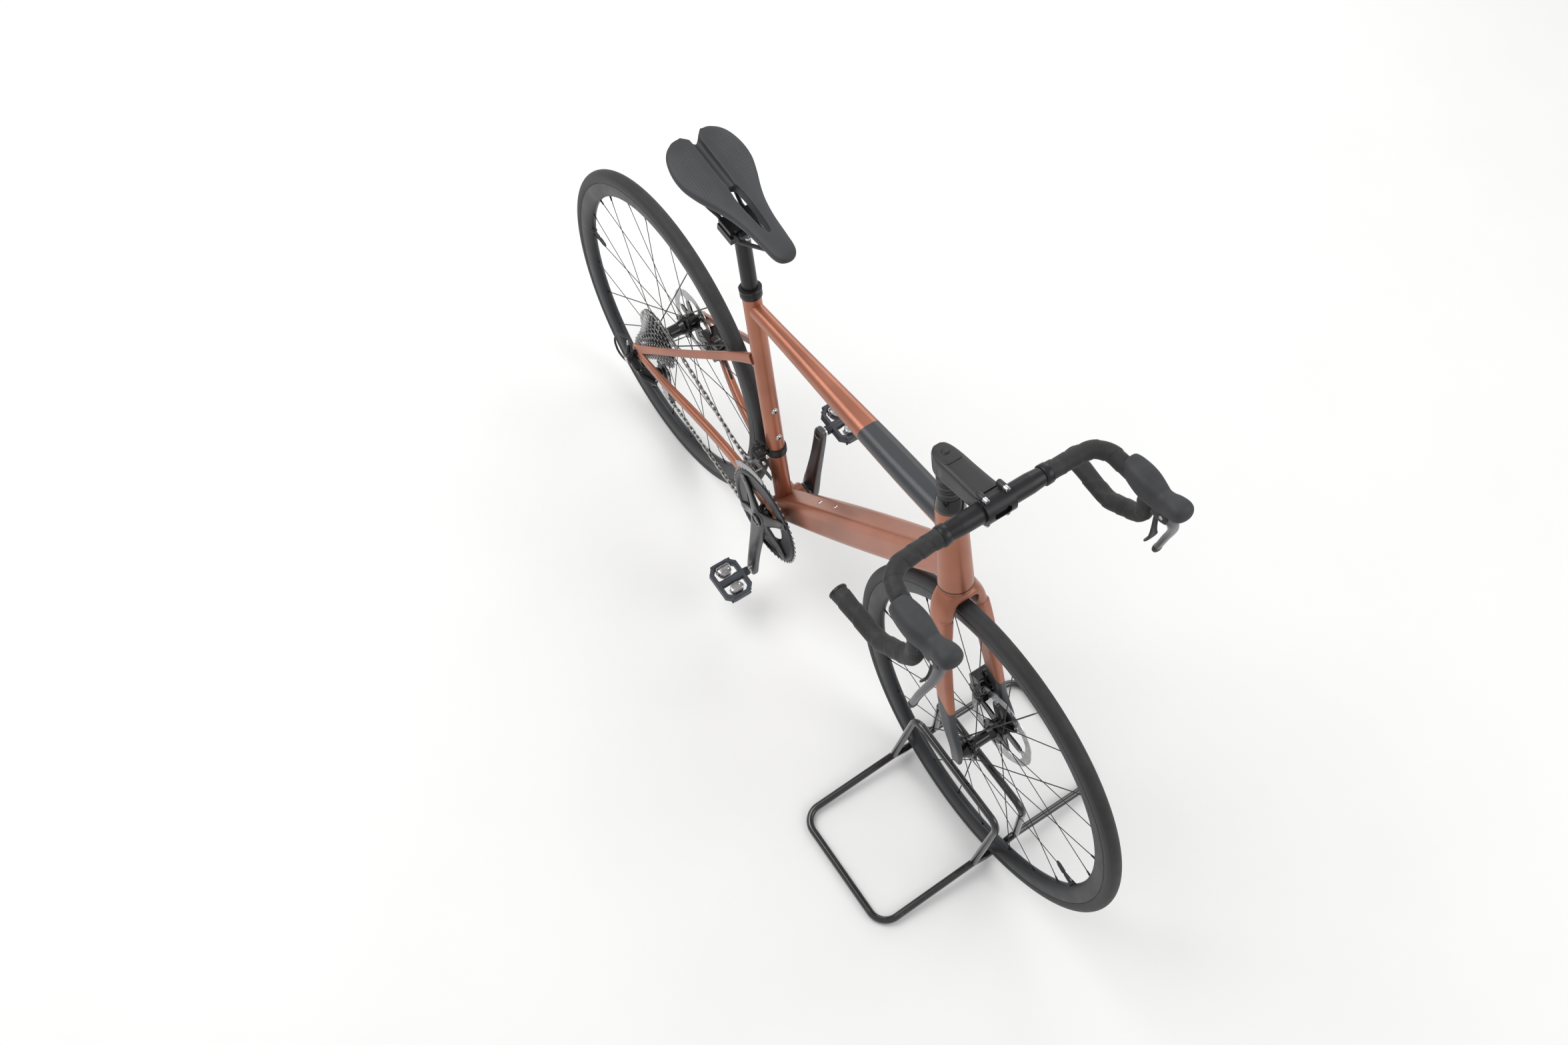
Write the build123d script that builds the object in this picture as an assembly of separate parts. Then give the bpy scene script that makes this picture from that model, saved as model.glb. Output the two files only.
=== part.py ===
from build123d import *
import math
import os

# Road bicycle held by its front wheel in a tubular floor stand.
# Frame of the model: +X points forwards, +Y to the rider's left, +Z up.
# The origin is on the floor, midway between the two axles.  The drive side is -Y.

# ---- overall sizes (mm, degrees) ----
WHEELBASE = 1000.0
WHEEL_R = 339.0            # tyre tread radius
TYRE_W = 28.0
TYRE_WALL = 2.4
RIM_W = 24.0
RIM_WALL = 2.5             # thickness of a rim flange
RIM_DEPTH = 31.0
FLANGE_H = 6.0             # height of the rim flange over the bead seat
BEAD_SEAT_R = 311.0
SPOKES = 24
SPOKE_R = 0.8
FIT = 0.05                 # radial clearance of turning fits
GAP = 0.3                  # clearance between parts that only pass each other

BB_X, BB_DROP = -94.0, 71.0
SEAT_ANGLE, HEAD_ANGLE = 74.0, 72.0
RAKE = 45.0
FORK_LENGTH = 370.0        # from the foot of the steering axis to the crown race
HEAD_TUBE_L = 168.0
HEAD_R_LOW, HEAD_R_TOP = 29.0, 24.0
HEAD_BORE_R = 21.0
STEERER_R = 14.3
SPACER_STACK = 66.0
SEAT_TUBE_R, SEAT_TUBE_L = 16.5, 510.0
TOP_TUBE_JOIN = 484.0      # along the seat tube from the crank axis
SEATPOST_R, SEATPOST_TOP = 13.6, 652.0
SEATPOST_BOTTOM = 380.0
COLLAR_H = 16.0
TUBE_WALL = 1.8
SHELL_R, SHELL_BORE_R, SHELL_HALF_W = 24.0, 20.5, 41.0

FRONT_HUB_HALF, REAR_HUB_HALF = 50.0, 71.0
AXLE_R = 6.0
DROPOUT_T = 7.0
ROTOR_T = 1.8
FRONT_ROTOR_R, REAR_ROTOR_R = 80.0, 70.0
FRONT_ROTOR_Y, REAR_ROTOR_Y = 40.0, 55.0

CRANK_L = 172.5
CRANK_TILT = 3.0           # degrees that the drive crank stands forward of straight down
SPINDLE_R = 12.0
CRANK_ROOT_Y, CRANK_END_Y = 58.0, 73.0
OUTER_TEETH, INNER_TEETH = 50, 36
OUTER_RING_Y, INNER_RING_Y = 47.0, 41.5
COGS = (11, 12, 13, 14, 15, 17, 19, 21, 24, 27, 30)
COG_PITCH = 3.74
LARGE_COG_Y = 26.3
CHAIN_PITCH = 12.7
PULLEY_TEETH = 11
TOOTH_T = 1.8
PLATE_T = 0.8
LINK_H = 6.4

BAR_X, BAR_Z = 366.0, 950.0
BAR_CLAMP_R, BAR_R = 15.9, 12.0
TAPE_T = 2.4
HOOD_Y = 201.0
LEVER_TIP = (504.0, 225.0, 808.0)

SADDLE_LENGTH, SADDLE_WIDTH = 284.0, 134.0
SADDLE_TAIL_X, SADDLE_TOP = -420.0, 962.0
RAIL_R, RAIL_Y = 3.5, 22.0

STAND_TUBE_R = 7.0
STAND_REAR_X, STAND_FRONT_X = 367.0, 617.0
STAND_HALF_W = 258.0
FOOT_Y, FOOT_Z = 50.0, 28.0
SOCKET_Y = 150.0           # where the outer loops plug into the cross tubes
HOOP_TOP_Y, HOOP_TOP_Z = 28.0, 200.0

DRIVE, LEFT = -1, 1

FRONT_AXLE = Vector(WHEELBASE / 2, 0, WHEEL_R)
REAR_AXLE = Vector(-WHEELBASE / 2, 0, WHEEL_R)
BB = Vector(BB_X, 0, WHEEL_R - BB_DROP)


# ---- helpers ----
def steer(s, forward=0.0, y=0.0):
    """Point s up the steering axis from the foot of the front axle, moved forward off it."""
    c, n = math.cos(math.radians(HEAD_ANGLE)), math.sin(math.radians(HEAD_ANGLE))
    foot_x, foot_z = FRONT_AXLE.X - RAKE * n, FRONT_AXLE.Z - RAKE * c
    return Vector(foot_x - s * c + forward * n, y, foot_z + s * n + forward * c)


def seat(s, forward=0.0, y=0.0):
    """Point s up the seat tube from the crank axis, moved forward off it."""
    c, n = math.cos(math.radians(SEAT_ANGLE)), math.sin(math.radians(SEAT_ANGLE))
    return Vector(BB.X - s * c + forward * n, y, BB.Z + s * n + forward * c)


def rod(a, b, r, r_end=None):
    """Round bar or cone from a to b."""
    a, b = Vector(a), Vector(b)
    plane = Plane(origin=a, z_dir=b - a)
    if r_end is None:
        return Part() + Solid.make_cylinder(r, (b - a).length, plane)
    return Part() + Solid.make_cone(r, r_end, (b - a).length, plane)


def cross_rod(x, z, y0, y1, r):
    """Round bar along Y."""
    return rod((x, min(y0, y1), z), (x, max(y0, y1), z), r)


def bent(points, radii, r, r_in=0.0):
    """Round bar or pipe along straight runs joined by tangent arcs."""
    path = FilletPolyline(*points, radius=radii)
    section = Circle(r) - Circle(r_in) if r_in else Circle(r)
    return sweep((path ^ 0) * section, path=path)


def limb(points, sizes, corner=0.49, shrink=0.0):
    """Loft through rounded rectangles: sizes are (width across Y, depth), seen along the path."""
    faces = []
    points = [Vector(p) for p in points]
    for i, (p, (w, d)) in enumerate(zip(points, sizes)):
        a, b = points[max(i - 1, 0)], points[min(i + 1, len(points) - 1)]
        w, d = w - 2 * shrink, d - 2 * shrink
        plane = Plane(origin=p, x_dir=(0, 1, 0), z_dir=b - a)
        faces.append(plane * RectangleRounded(w, d, corner * min(w, d)))
    return Part() + loft(faces)


def hollow_limb(points, sizes, corner=0.49, wall=TUBE_WALL):
    return limb(points, sizes, corner) - limb(points, sizes, corner, wall)


def turned(centre, outline):
    """Body of revolution about Y: the outline is a closed list of (radius, y)."""
    plane = Plane(origin=(centre.X, 0, centre.Z), x_dir=(1, 0, 0), z_dir=(0, 0, 1))
    face = plane * make_face(Polyline(*outline, close=True))
    return Part() + revolve(face, Axis((centre.X, 0, centre.Z), (0, 1, 0)), 360)


def disc_plane(centre, y):
    """Plane across Y at y, seen from the left: local x is +X, local y is +Z."""
    return Plane(origin=(centre.X, y, centre.Z), x_dir=(1, 0, 0), z_dir=(0, -1, 0))


def plate(centre, y, thickness, sketch):
    """Flat plate of the given thickness, centred on the plane at y."""
    return Part() + extrude(disc_plane(centre, y) * sketch, thickness / 2, both=True)


def pitch_r(teeth):
    return CHAIN_PITCH / 2 / math.sin(math.pi / teeth)


def sprocket(teeth, inner_r, phase=0.0):
    """Toothed ring: each tooth is a trapezium between the tip and root circles."""
    tip, root = pitch_r(teeth) + 2.2, pitch_r(teeth) - 4.0
    step = 2 * math.pi / teeth
    points = []
    for k in range(teeth):
        for turn, r in ((-0.36, root), (-0.11, tip), (0.11, tip), (0.36, root)):
            a = (k + turn) * step + phase
            points.append((r * math.cos(a), r * math.sin(a)))
    return make_face(Polyline(*points, close=True)) - Circle(inner_r)


def cord(points, r):
    """Hose or cable: each arc is as large as its two runs allow."""
    points = [Vector(p) for p in points]
    radii = []
    for a, b, c in zip(points, points[1:], points[2:]):
        turn = math.radians((b - a).get_angle(c - b))
        radii.append(0.45 * min((b - a).length, (c - b).length) / math.tan(turn / 2))
    body = bent([tuple(p) for p in points], radii, r)
    runs = sum((q - p).length for p, q in zip(points, points[1:]))
    print("cord radii", [round(v, 1) for v in radii], "runs", round(runs), "mm")
    return body


nodes = {}


# ---- wheels ----
def tyre(axle):
    core_r, half = WHEEL_R - TYRE_W / 2, TYRE_W / 2
    flange_r = BEAD_SEAT_R + FLANGE_H + GAP
    bead_r = BEAD_SEAT_R + GAP
    bead_out = RIM_W / 2 - RIM_WALL - GAP
    bead_in = bead_out - TYRE_WALL
    inside = half - TYRE_WALL
    shoulder = math.sqrt(half**2 - (core_r - flange_r) ** 2)
    inner_r = core_r - math.sqrt(inside**2 - bead_in**2)
    outline = Polyline(
        (flange_r, shoulder), (flange_r, bead_out), (bead_r, bead_out), (bead_r, bead_in), (inner_r, bead_in)
    )
    outline += ThreePointArc((inner_r, bead_in), (core_r + inside, 0), (inner_r, -bead_in))
    outline += Polyline(
        (inner_r, -bead_in), (bead_r, -bead_in), (bead_r, -bead_out), (flange_r, -bead_out), (flange_r, -shoulder)
    )
    outline += ThreePointArc((flange_r, -shoulder), (WHEEL_R, 0), (flange_r, shoulder))
    plane = Plane(origin=(axle.X, 0, axle.Z), x_dir=(1, 0, 0), z_dir=(0, 0, 1))
    return Part() + revolve(plane * make_face(outline), Axis((axle.X, 0, axle.Z), (0, 1, 0)), 360)


RIM_EDGE_R = BEAD_SEAT_R + FLANGE_H
RIM_INNER_R = RIM_EDGE_R - RIM_DEPTH


def rim(axle):
    w, bed = RIM_W / 2, RIM_W / 2 - RIM_WALL
    half = [
        (RIM_EDGE_R, w), (RIM_EDGE_R, bed), (BEAD_SEAT_R, bed), (BEAD_SEAT_R, bed - 2.5),
        (BEAD_SEAT_R - 3, bed - 4.5),
    ]
    low = [(RIM_EDGE_R - 13, w + 0.4), (RIM_INNER_R + 6, w - 3.5), (RIM_INNER_R + 1.2, w - 7), (RIM_INNER_R, w - 10)]
    outline = half + [(r, -y) for r, y in reversed(half)] + [(r, -y) for r, y in low] + list(reversed(low))
    wall = 1.6
    cave = [(BEAD_SEAT_R - 5, w - 4), (RIM_EDGE_R - 13, w - wall), (RIM_INNER_R + 7, w - 5.4), (RIM_INNER_R + 3, w - 8.5)]
    cave_line = cave + [(r, -y) for r, y in reversed(cave)]
    return turned(axle, outline) - turned(axle, cave_line)


def hub(axle, half, flange_left, flange_drive, barrel_r, rotor_y, stop_drive):
    """Hub shell with two flanges, a splined rotor seat on the left and a bore for the axle."""
    outline = [
        (AXLE_R + FIT, half - GAP), (9.5, half - GAP), (9.5, rotor_y + 4), (17.0, rotor_y + 4),
        (17.0, flange_left + 4), (25.0, flange_left + 1.6), (25.0, flange_left - 1.6),
        (barrel_r + 3, flange_left - 4), (barrel_r, flange_left - 14), (barrel_r, flange_drive + 14),
        (barrel_r + 3, flange_drive + 4), (25.0, flange_drive + 1.6), (25.0, flange_drive - 1.6),
        (16.0, flange_drive - 3), (9.5, stop_drive), (AXLE_R + FIT, stop_drive),
    ]
    return turned(axle, outline)


def spokes(axle, flange_left, flange_drive):
    """Two-cross lacing: neighbouring spokes leave opposite faces of their flange."""
    group = []
    per_side = SPOKES // 2
    step = 2 * math.pi / per_side
    hub_r, rim_r, lean = 22.5, RIM_INNER_R + 1.6, math.radians(60)
    for side, flange in ((LEFT, flange_left), (DRIVE, flange_drive)):
        for k in range(per_side):
            at = k * step + (step / 2 if side == DRIVE else 0.0)
            to = at + (lean if k % 2 else -lean)
            face = 1.5 if k % 2 else -1.5
            start = (axle.X + hub_r * math.cos(at), flange + face, axle.Z + hub_r * math.sin(at))
            end = (axle.X + rim_r * math.cos(to), side * 1.2, axle.Z + rim_r * math.sin(to))
            group.append(rod(start, end, SPOKE_R))
    return group


def rotor(axle, radius, y):
    """Brake rotor: track, six swept arms and a splined ring that sits on the hub."""
    sketch = Circle(radius) - Circle(radius - 13.5)
    sketch += Circle(24) - Circle(17.0 + FIT)
    reach = radius - 13 - 22
    for k in range(6):
        arm = Rot(0, 0, 60 * k) * Pos(22 + reach / 2, 5, 0) * Rot(0, 0, -14) * Rectangle(reach + 6, 5)
        sketch += arm & Circle(radius - 5) - Circle(17.0 + FIT)
    return plate(axle, y, ROTOR_T, sketch)


FRONT_FLANGES = (23.0, -34.0)
REAR_FLANGES = (33.0, -17.0)
nodes["front_tyre"] = tyre(FRONT_AXLE)
nodes["rear_tyre"] = tyre(REAR_AXLE)
nodes["front_rim"] = rim(FRONT_AXLE)
nodes["rear_rim"] = rim(REAR_AXLE)
nodes["front_hub"] = hub(FRONT_AXLE, FRONT_HUB_HALF, *FRONT_FLANGES, 11.0, FRONT_ROTOR_Y, GAP - FRONT_HUB_HALF)
nodes["rear_hub"] = hub(REAR_AXLE, REAR_HUB_HALF, *REAR_FLANGES, 13.0, REAR_ROTOR_Y, -21.5)
nodes["front_spokes"] = spokes(FRONT_AXLE, *FRONT_FLANGES)
nodes["rear_spokes"] = spokes(REAR_AXLE, *REAR_FLANGES)
nodes["front_rotor"] = rotor(FRONT_AXLE, FRONT_ROTOR_R, FRONT_ROTOR_Y)
nodes["rear_rotor"] = rotor(REAR_AXLE, REAR_ROTOR_R, REAR_ROTOR_Y)


# ---- cassette ----
FREEHUB_R = 17.0


def cog_y(index):
    """Centre plane of a cog: the last is the largest and the furthest inboard."""
    return -(LARGE_COG_Y + (len(COGS) - 1 - index) * COG_PITCH)


def cassette():
    body = turned(REAR_AXLE, [(AXLE_R + FIT, -22), (FREEHUB_R, -22), (FREEHUB_R, -66), (20, -66), (20, -67.5), (AXLE_R + FIT, -67.5)])
    group = [body]
    for i, teeth in enumerate(COGS):
        bore = FREEHUB_R + FIT
        y = cog_y(i)
        group.append(plate(REAR_AXLE, y, TOOTH_T, sprocket(teeth, bore)))
        if i:
            inner, outer = y - TOOTH_T / 2, cog_y(i - 1) + TOOTH_T / 2
            spacer = turned(REAR_AXLE, [(bore, inner), (bore + 1.6, inner), (bore + 1.6, outer), (bore, outer)])
            group.append(spacer)
    return group


nodes["cassette"] = cassette()

# ---- axles ----
front_outer = FRONT_HUB_HALF + DROPOUT_T
nodes["front_axle"] = cross_rod(FRONT_AXLE.X, WHEEL_R, -FRONT_HUB_HALF - 4, front_outer, AXLE_R) + cross_rod(
    FRONT_AXLE.X, WHEEL_R, front_outer, front_outer + 4, 9.0
)
rear_outer = REAR_HUB_HALF + DROPOUT_T
nodes["rear_axle"] = (
    cross_rod(REAR_AXLE.X, WHEEL_R, -REAR_HUB_HALF - 5, rear_outer, AXLE_R)
    + cross_rod(REAR_AXLE.X, WHEEL_R, rear_outer, rear_outer + 4, 9.0)
    + cross_rod(REAR_AXLE.X, WHEEL_R, -REAR_HUB_HALF, -67.5 - GAP, 9.0)
)

# ---- fork ----
RACE = FORK_LENGTH
HEAD_TOP = FORK_LENGTH + HEAD_TUBE_L
STEM_LOW = HEAD_TOP + SPACER_STACK
STEM_H = 40.0
STEM_TOP = STEM_LOW + STEM_H
TIP_Y = FRONT_HUB_HALF + DROPOUT_T / 2 + 0.5


def fork_blade(side):
    points = [
        steer(RACE - 20, 4, side * 28), steer(RACE - 66, 6, side * 37), steer(200, 12, side * 46),
        steer(90, 26, side * 51.5), FRONT_AXLE + Vector(-8, side * TIP_Y, 20), FRONT_AXLE + Vector(3, side * TIP_Y, -16),
    ]
    return limb(points, [(24, 46), (22, 42), (18, 38), (13, 34), (8, 28), (7.5, 20)], corner=0.38)


def fork():
    """Steerer, crown and two blades in one piece, with the axle holes cut through the tips."""
    body = rod(steer(RACE - 28), steer(RACE), HEAD_R_LOW - 1)
    body += rod(steer(RACE), steer(STEM_TOP - 4), STEERER_R)
    bridge = Plane(origin=steer(RACE - 25, 3, -34), x_dir=steer(1) - steer(0), z_dir=(0, 1, 0))
    body += extrude(bridge * RectangleRounded(28, 42, 11), 68)
    for side in (DRIVE, LEFT):
        body += fork_blade(side)
    arch = cross_rod(FRONT_AXLE.X, WHEEL_R, -TYRE_W / 2 - 7, TYRE_W / 2 + 7, WHEEL_R + 6)
    body -= arch
    body -= cross_rod(FRONT_AXLE.X, WHEEL_R, -FRONT_HUB_HALF, FRONT_HUB_HALF, 24)
    body -= cross_rod(FRONT_AXLE.X, WHEEL_R, -70, 70, AXLE_R + FIT)
    for side in (DRIVE, LEFT):
        body -= cross_rod(FRONT_AXLE.X, WHEEL_R, side * (FRONT_HUB_HALF + DROPOUT_T), side * 75, 10)
    body -= rod(steer(RACE - 40), steer(STEM_TOP), STEERER_R - 3)
    return body


nodes["fork"] = fork()
bearings = [
    rod(steer(s), steer(s + 7), HEAD_BORE_R - FIT) - rod(steer(s - 1), steer(s + 8), STEERER_R + 0.02)
    for s in (RACE + 0.5, HEAD_TOP - 8)
]


def headset_spacers():
    group = []
    cone_h = 24.0
    bore = STEERER_R + 0.02
    heights = [cone_h] + [(SPACER_STACK - cone_h - GAP) / 3] * 3
    s, r = HEAD_TOP + GAP, HEAD_R_TOP
    for i, h in enumerate(heights):
        r_top = 19.0 if i == 0 else 18.0
        r_low = HEAD_R_TOP if i == 0 else 18.0
        ring = rod(steer(s), steer(s + h - 0.02), r_low, r_top) if i == 0 else rod(steer(s), steer(s + h - 0.02), r_low)
        group.append(ring - rod(steer(s - 1), steer(s + h + 1), bore))
        s += h
    return group


nodes["headset"] = bearings + headset_spacers()

# ---- stem and bar ----
BAR = Vector(BAR_X, 0, BAR_Z)
STEM_W = 44.0
CLAMP_W = 50.0
CLAMP_R = BAR_CLAMP_R + 5.0


def stem():
    root = steer(STEM_LOW + STEM_H / 2, 0)
    back = rod(steer(STEM_LOW), steer(STEM_TOP), 21.0)
    reach = BAR - root
    body = back + limb([root - reach * 0.02, root + reach * 0.5, BAR - reach * 0.12], [(40, 39), (40, 37), (44, 36)], 0.28)
    body += cross_rod(BAR_X, BAR_Z, -CLAMP_W / 2, CLAMP_W / 2, CLAMP_R)
    body -= rod(steer(STEM_LOW - 5), steer(STEM_TOP + 5), STEERER_R + FIT)
    body -= cross_rod(BAR_X, BAR_Z, -40, 40, BAR_CLAMP_R + FIT)
    return body


def clamp_split():
    """Half space in front of the bar clamp's split line, as a box turned to the stem's line."""
    reach = BAR - steer(STEM_LOW + STEM_H / 2, 0)
    plane = Plane(origin=BAR + reach.normalized() * 1.0, x_dir=(0, 1, 0), z_dir=reach)
    return Part() + extrude(plane * Rectangle(120, 120), 80)


whole_stem = stem()
front_half = clamp_split()
window = extrude(Plane(origin=BAR, x_dir=(0, 1, 0), z_dir=BAR - steer(STEM_LOW + STEM_H / 2)) * SlotOverall(30, 15), 40)
stem_back = whole_stem - front_half
stem_front = (whole_stem & front_half) - window


def stem_bolts():
    """Four faceplate bolts, the top-cap bolt's cover and the flush cap over the steerer."""
    group = []
    reach = (BAR - steer(STEM_LOW + STEM_H / 2)).normalized()
    rise = Vector(-reach.Z, 0, reach.X)
    for dy in (-18.0, 18.0):
        for up in (-1, 1):
            centre = BAR + rise * (up * (CLAMP_R + 2.6)) + Vector(0, dy, 0)
            group.append(rod(centre - reach * 6, centre + reach * 9, 3.4))
    group.append(rod(steer(STEM_TOP + 0.02), steer(STEM_TOP + 3), 19.0))
    return group


nodes["stem_bolts"] = stem_bolts()
for bolt in nodes["stem_bolts"]:
    stem_back -= bolt
    stem_front -= bolt
nodes["stem"] = stem_back
nodes["stem_faceplate"] = Part() + max(stem_front.solids(), key=lambda s: s.volume)


def bar_route(side):
    """One half of the drop bar: straight top, reach, hook and drop."""
    points = [
        (BAR_X, side * 60, BAR_Z), (BAR_X, side * 116, BAR_Z), (BAR_X + 4, side * 190, BAR_Z + 2),
        (BAR_X + 97, side * (HOOD_Y + 3), BAR_Z - 4),
        (BAR_X + 107, side * (HOOD_Y + 6), BAR_Z - 72), (BAR_X + 40, side * (HOOD_Y + 11), BAR_Z - 128),
        (BAR_X - 54, side * (HOOD_Y + 15), BAR_Z - 128),
    ]
    return points, [60, 38, 32, 44, 44]


def bar_half(side, r):
    points, radii = bar_route(side)
    return bent(points, radii, r)


BAR_AXIS = Vector(BAR_X, 0, BAR_Z)
BULGE_Y, TAPER_Y, TAPE_Y = 62.0, 106.0, 86.0     # thick middle, end of its taper, start of the tape
TAPER_R = BAR_R + 0.4
bulge = turned(
    BAR_AXIS,
    [(0, -TAPER_Y), (TAPER_R, -TAPER_Y), (BAR_CLAMP_R, -BULGE_Y), (BAR_CLAMP_R, BULGE_Y), (TAPER_R, TAPER_Y), (0, TAPER_Y)],
)
nodes["handlebar"] = bulge + bar_half(LEFT, BAR_R) + bar_half(DRIVE, BAR_R)


def hood(side):
    """Rubber hood over the lever body: a loft from the bar's bend up to the horn."""
    y = side * (HOOD_Y + 3)
    points = [
        (BAR_X + 60, y, BAR_Z + 2), (BAR_X + 92, y, BAR_Z + 3), (BAR_X + 122, y - side * 2, BAR_Z + 4),
        (BAR_X + 142, y - side * 3, BAR_Z + 12), (BAR_X + 154, y - side * 3, BAR_Z + 24),
    ]
    return limb(points, [(32, 34), (34, 44), (35, 48), (33, 40), (22, 22)], 0.42)


LEVER_PIVOT = (BAR_X + 141, BAR_Z - 8)
LEVER_PIN_R, PADDLE_PIN_R = 2.5, 1.5
PADDLE_DROP = 9.0          # paddle pin below the lever pin


def brake_lever(side):
    x, z = LEVER_PIVOT
    y = side * HOOD_Y
    tip = Vector(LEVER_TIP[0], side * LEVER_TIP[1], LEVER_TIP[2])
    points = [
        (x + 1, y, z + 4), (x + 16, y + side * 4, z - 26), (x + 19, y + side * 11, z - 66),
        (x + 9, y + side * 19, z - 108), tip,
    ]
    return limb(points, [(15, 16), (16, 15), (15, 12), (14, 10), (12, 8)], 0.4)


def shift_paddle(side):
    x, z = LEVER_PIVOT
    y = side * (HOOD_Y - 3)
    points = [
        (x - 15, y, z - 4), (x - 14, y, z - 16), (x - 9, y, z - 40), (x - 6, y + side * 3, z - 68),
        (x - 9, y + side * 6, z - 88),
    ]
    blade = limb(points, [(10, 6), (10, 6), (12, 6), (18, 6), (14, 5)], 0.4)
    return blade - rod((x - 40, y, z - PADDLE_DROP), (x, y, z - PADDLE_DROP), PADDLE_PIN_R + FIT)


for name, side in (("drive", DRIVE), ("left", LEFT)):
    core = bar_half(side, BAR_R + 0.02)
    lever = brake_lever(side)
    x, z = LEVER_PIVOT
    well = cross_rod(x, z, side * (HOOD_Y - 10.5), side * (HOOD_Y + 10.5), 19.5)
    slot_box = Part() + Pos(x + 5, side * HOOD_Y, z - 27) * Box(58, 21, 52)
    body = hood(side) - core - slot_box - well
    nodes[f"hood_{name}"] = body + cross_rod(x, z, side * (HOOD_Y - 13), side * (HOOD_Y + 13), LEVER_PIN_R)
    lever -= cross_rod(x, z, side * (HOOD_Y - 20), side * (HOOD_Y + 20), LEVER_PIN_R + FIT)
    paddle_y, paddle_z = side * (HOOD_Y - 3), z - PADDLE_DROP
    lever += rod((x - 21, paddle_y, paddle_z), (x + 4, paddle_y, paddle_z), PADDLE_PIN_R)
    nodes[f"brake_lever_{name}"] = lever
    nodes[f"shift_paddle_{name}"] = shift_paddle(side)

tape = []
for side in (DRIVE, LEFT):
    sleeve = bar_half(side, BAR_R + TAPE_T) - bar_half(side, BAR_R + 0.02)
    sleeve -= Part() + Pos(BAR_X, 0, BAR_Z) * Box(80, 2 * (TAPER_Y + 1), 80)
    sleeve -= Part() + Pos(BAR_X + 59.6 + 60, side * HOOD_Y, BAR_Z - 20.6 + 60) * Box(120, 80, 120)
    share = (TAPE_Y - BULGE_Y) / (TAPER_Y - BULGE_Y)
    start_r = BAR_CLAMP_R + (TAPER_R - BAR_CLAMP_R) * share + 0.02
    collar = turned(
        BAR_AXIS,
        [
            (start_r, side * TAPE_Y), (start_r + TAPE_T, side * TAPE_Y), (BAR_R + TAPE_T + 0.3, side * (TAPER_Y + 3)),
            (BAR_R + 0.02, side * (TAPER_Y + 3)), (BAR_R + 0.02, side * (TAPER_Y + 0.02)),
            (TAPER_R + 0.02, side * (TAPER_Y + 0.02)),
        ],
    )
    tape.append(sleeve + collar)
nodes["bar_tape"] = [s for part in tape for s in part.solids() if s.volume > 500]

# ---- frame ----
head_outer = rod(steer(RACE + GAP), steer(HEAD_TOP), HEAD_R_LOW, HEAD_R_TOP)
head_core = rod(steer(RACE - 1), steer(HEAD_TOP + 1), HEAD_BORE_R)
nodes["head_tube"] = head_outer - head_core

seat_outer = rod(seat(0), seat(SEAT_TUBE_L), SEAT_TUBE_R)
shell_outer = cross_rod(BB.X, BB.Z, -SHELL_HALF_W, SHELL_HALF_W, SHELL_R)
shell_core = cross_rod(BB.X, BB.Z, -60, 60, SHELL_BORE_R)
seat_core = rod(seat(-5), seat(SEAT_TUBE_L + 5), SEATPOST_R + 0.02)
nodes["seat_tube"] = (seat_outer - seat_core + shell_outer) - shell_core


def straight(a, b, shares):
    """Points at the given shares of the line from a to b."""
    return [a + (b - a) * t for t in shares]


TOP_TUBE = (straight(steer(HEAD_TOP - 30), seat(TOP_TUBE_JOIN), (0.0, 0.14, 0.6, 1.0)),
            [(44, 42), (46, 38), (36, 32), (27, 28)])
DOWN_TUBE = (straight(steer(RACE + 50), BB, (0.0, 0.12, 0.8, 1.0)),
             [(46, 56), (52, 58), (56, 56), (55, 43)])


def mitred(spec, *cutters, corner=0.3):
    body = hollow_limb(*spec, corner=corner)
    for cutter in cutters:
        body -= cutter
    biggest = max(body.solids(), key=lambda s: s.volume)
    return Part() + biggest


nodes["top_tube"] = mitred(TOP_TUBE, head_outer, seat_outer, corner=0.42)
nodes["down_tube"] = mitred(DOWN_TUBE, head_outer, seat_outer, shell_outer, nodes["top_tube"], corner=0.26)


DROPOUT_Y = REAR_HUB_HALF + DROPOUT_T / 2


def chain_stay(side):
    points = [
        BB + Vector(-6, side * 27, -2), BB + Vector(-76, side * 27, 4), BB + Vector(-180, side * 37, 22),
        BB + Vector(-300, side * 59, 46), REAR_AXLE + Vector(40, side * 72, -7), REAR_AXLE + Vector(-12, side * DROPOUT_Y, 0),
    ]
    return limb(points, [(16, 36), (16, 28), (15, 24), (13, 22), (9, 22), (7, 24)], 0.4)


def seat_stay(side):
    points = [
        seat(372, -6, side * 13), seat(352, -50, side * 22), REAR_AXLE + Vector(122, side * 53, 120),
        REAR_AXLE + Vector(52, side * 66, 54), REAR_AXLE + Vector(4, side * DROPOUT_Y, 8),
    ]
    return limb(points, [(14, 22), (10, 18), (9, 15), (9, 15), (7, 20)], 0.4)


rear_gap = cross_rod(REAR_AXLE.X, WHEEL_R, -REAR_HUB_HALF, REAR_HUB_HALF, 27)
axle_hole = cross_rod(REAR_AXLE.X, WHEEL_R, -90, 90, AXLE_R + FIT)
for side in (DRIVE, LEFT):
    axle_hole += cross_rod(REAR_AXLE.X, WHEEL_R, side * (REAR_HUB_HALF + DROPOUT_T), side * 95, 11)
stays = {side: chain_stay(side) - rear_gap - axle_hole - shell_outer - seat_outer for side in (DRIVE, LEFT)}
nodes["chain_stays"] = [max(stays[side].solids(), key=lambda s: s.volume) for side in (DRIVE, LEFT)]
upper = {side: seat_stay(side) - rear_gap - axle_hole - seat_outer - stays[side] for side in (DRIVE, LEFT)}
nodes["seat_stays"] = [max(upper[side].solids(), key=lambda s: s.volume) for side in (DRIVE, LEFT)]

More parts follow.
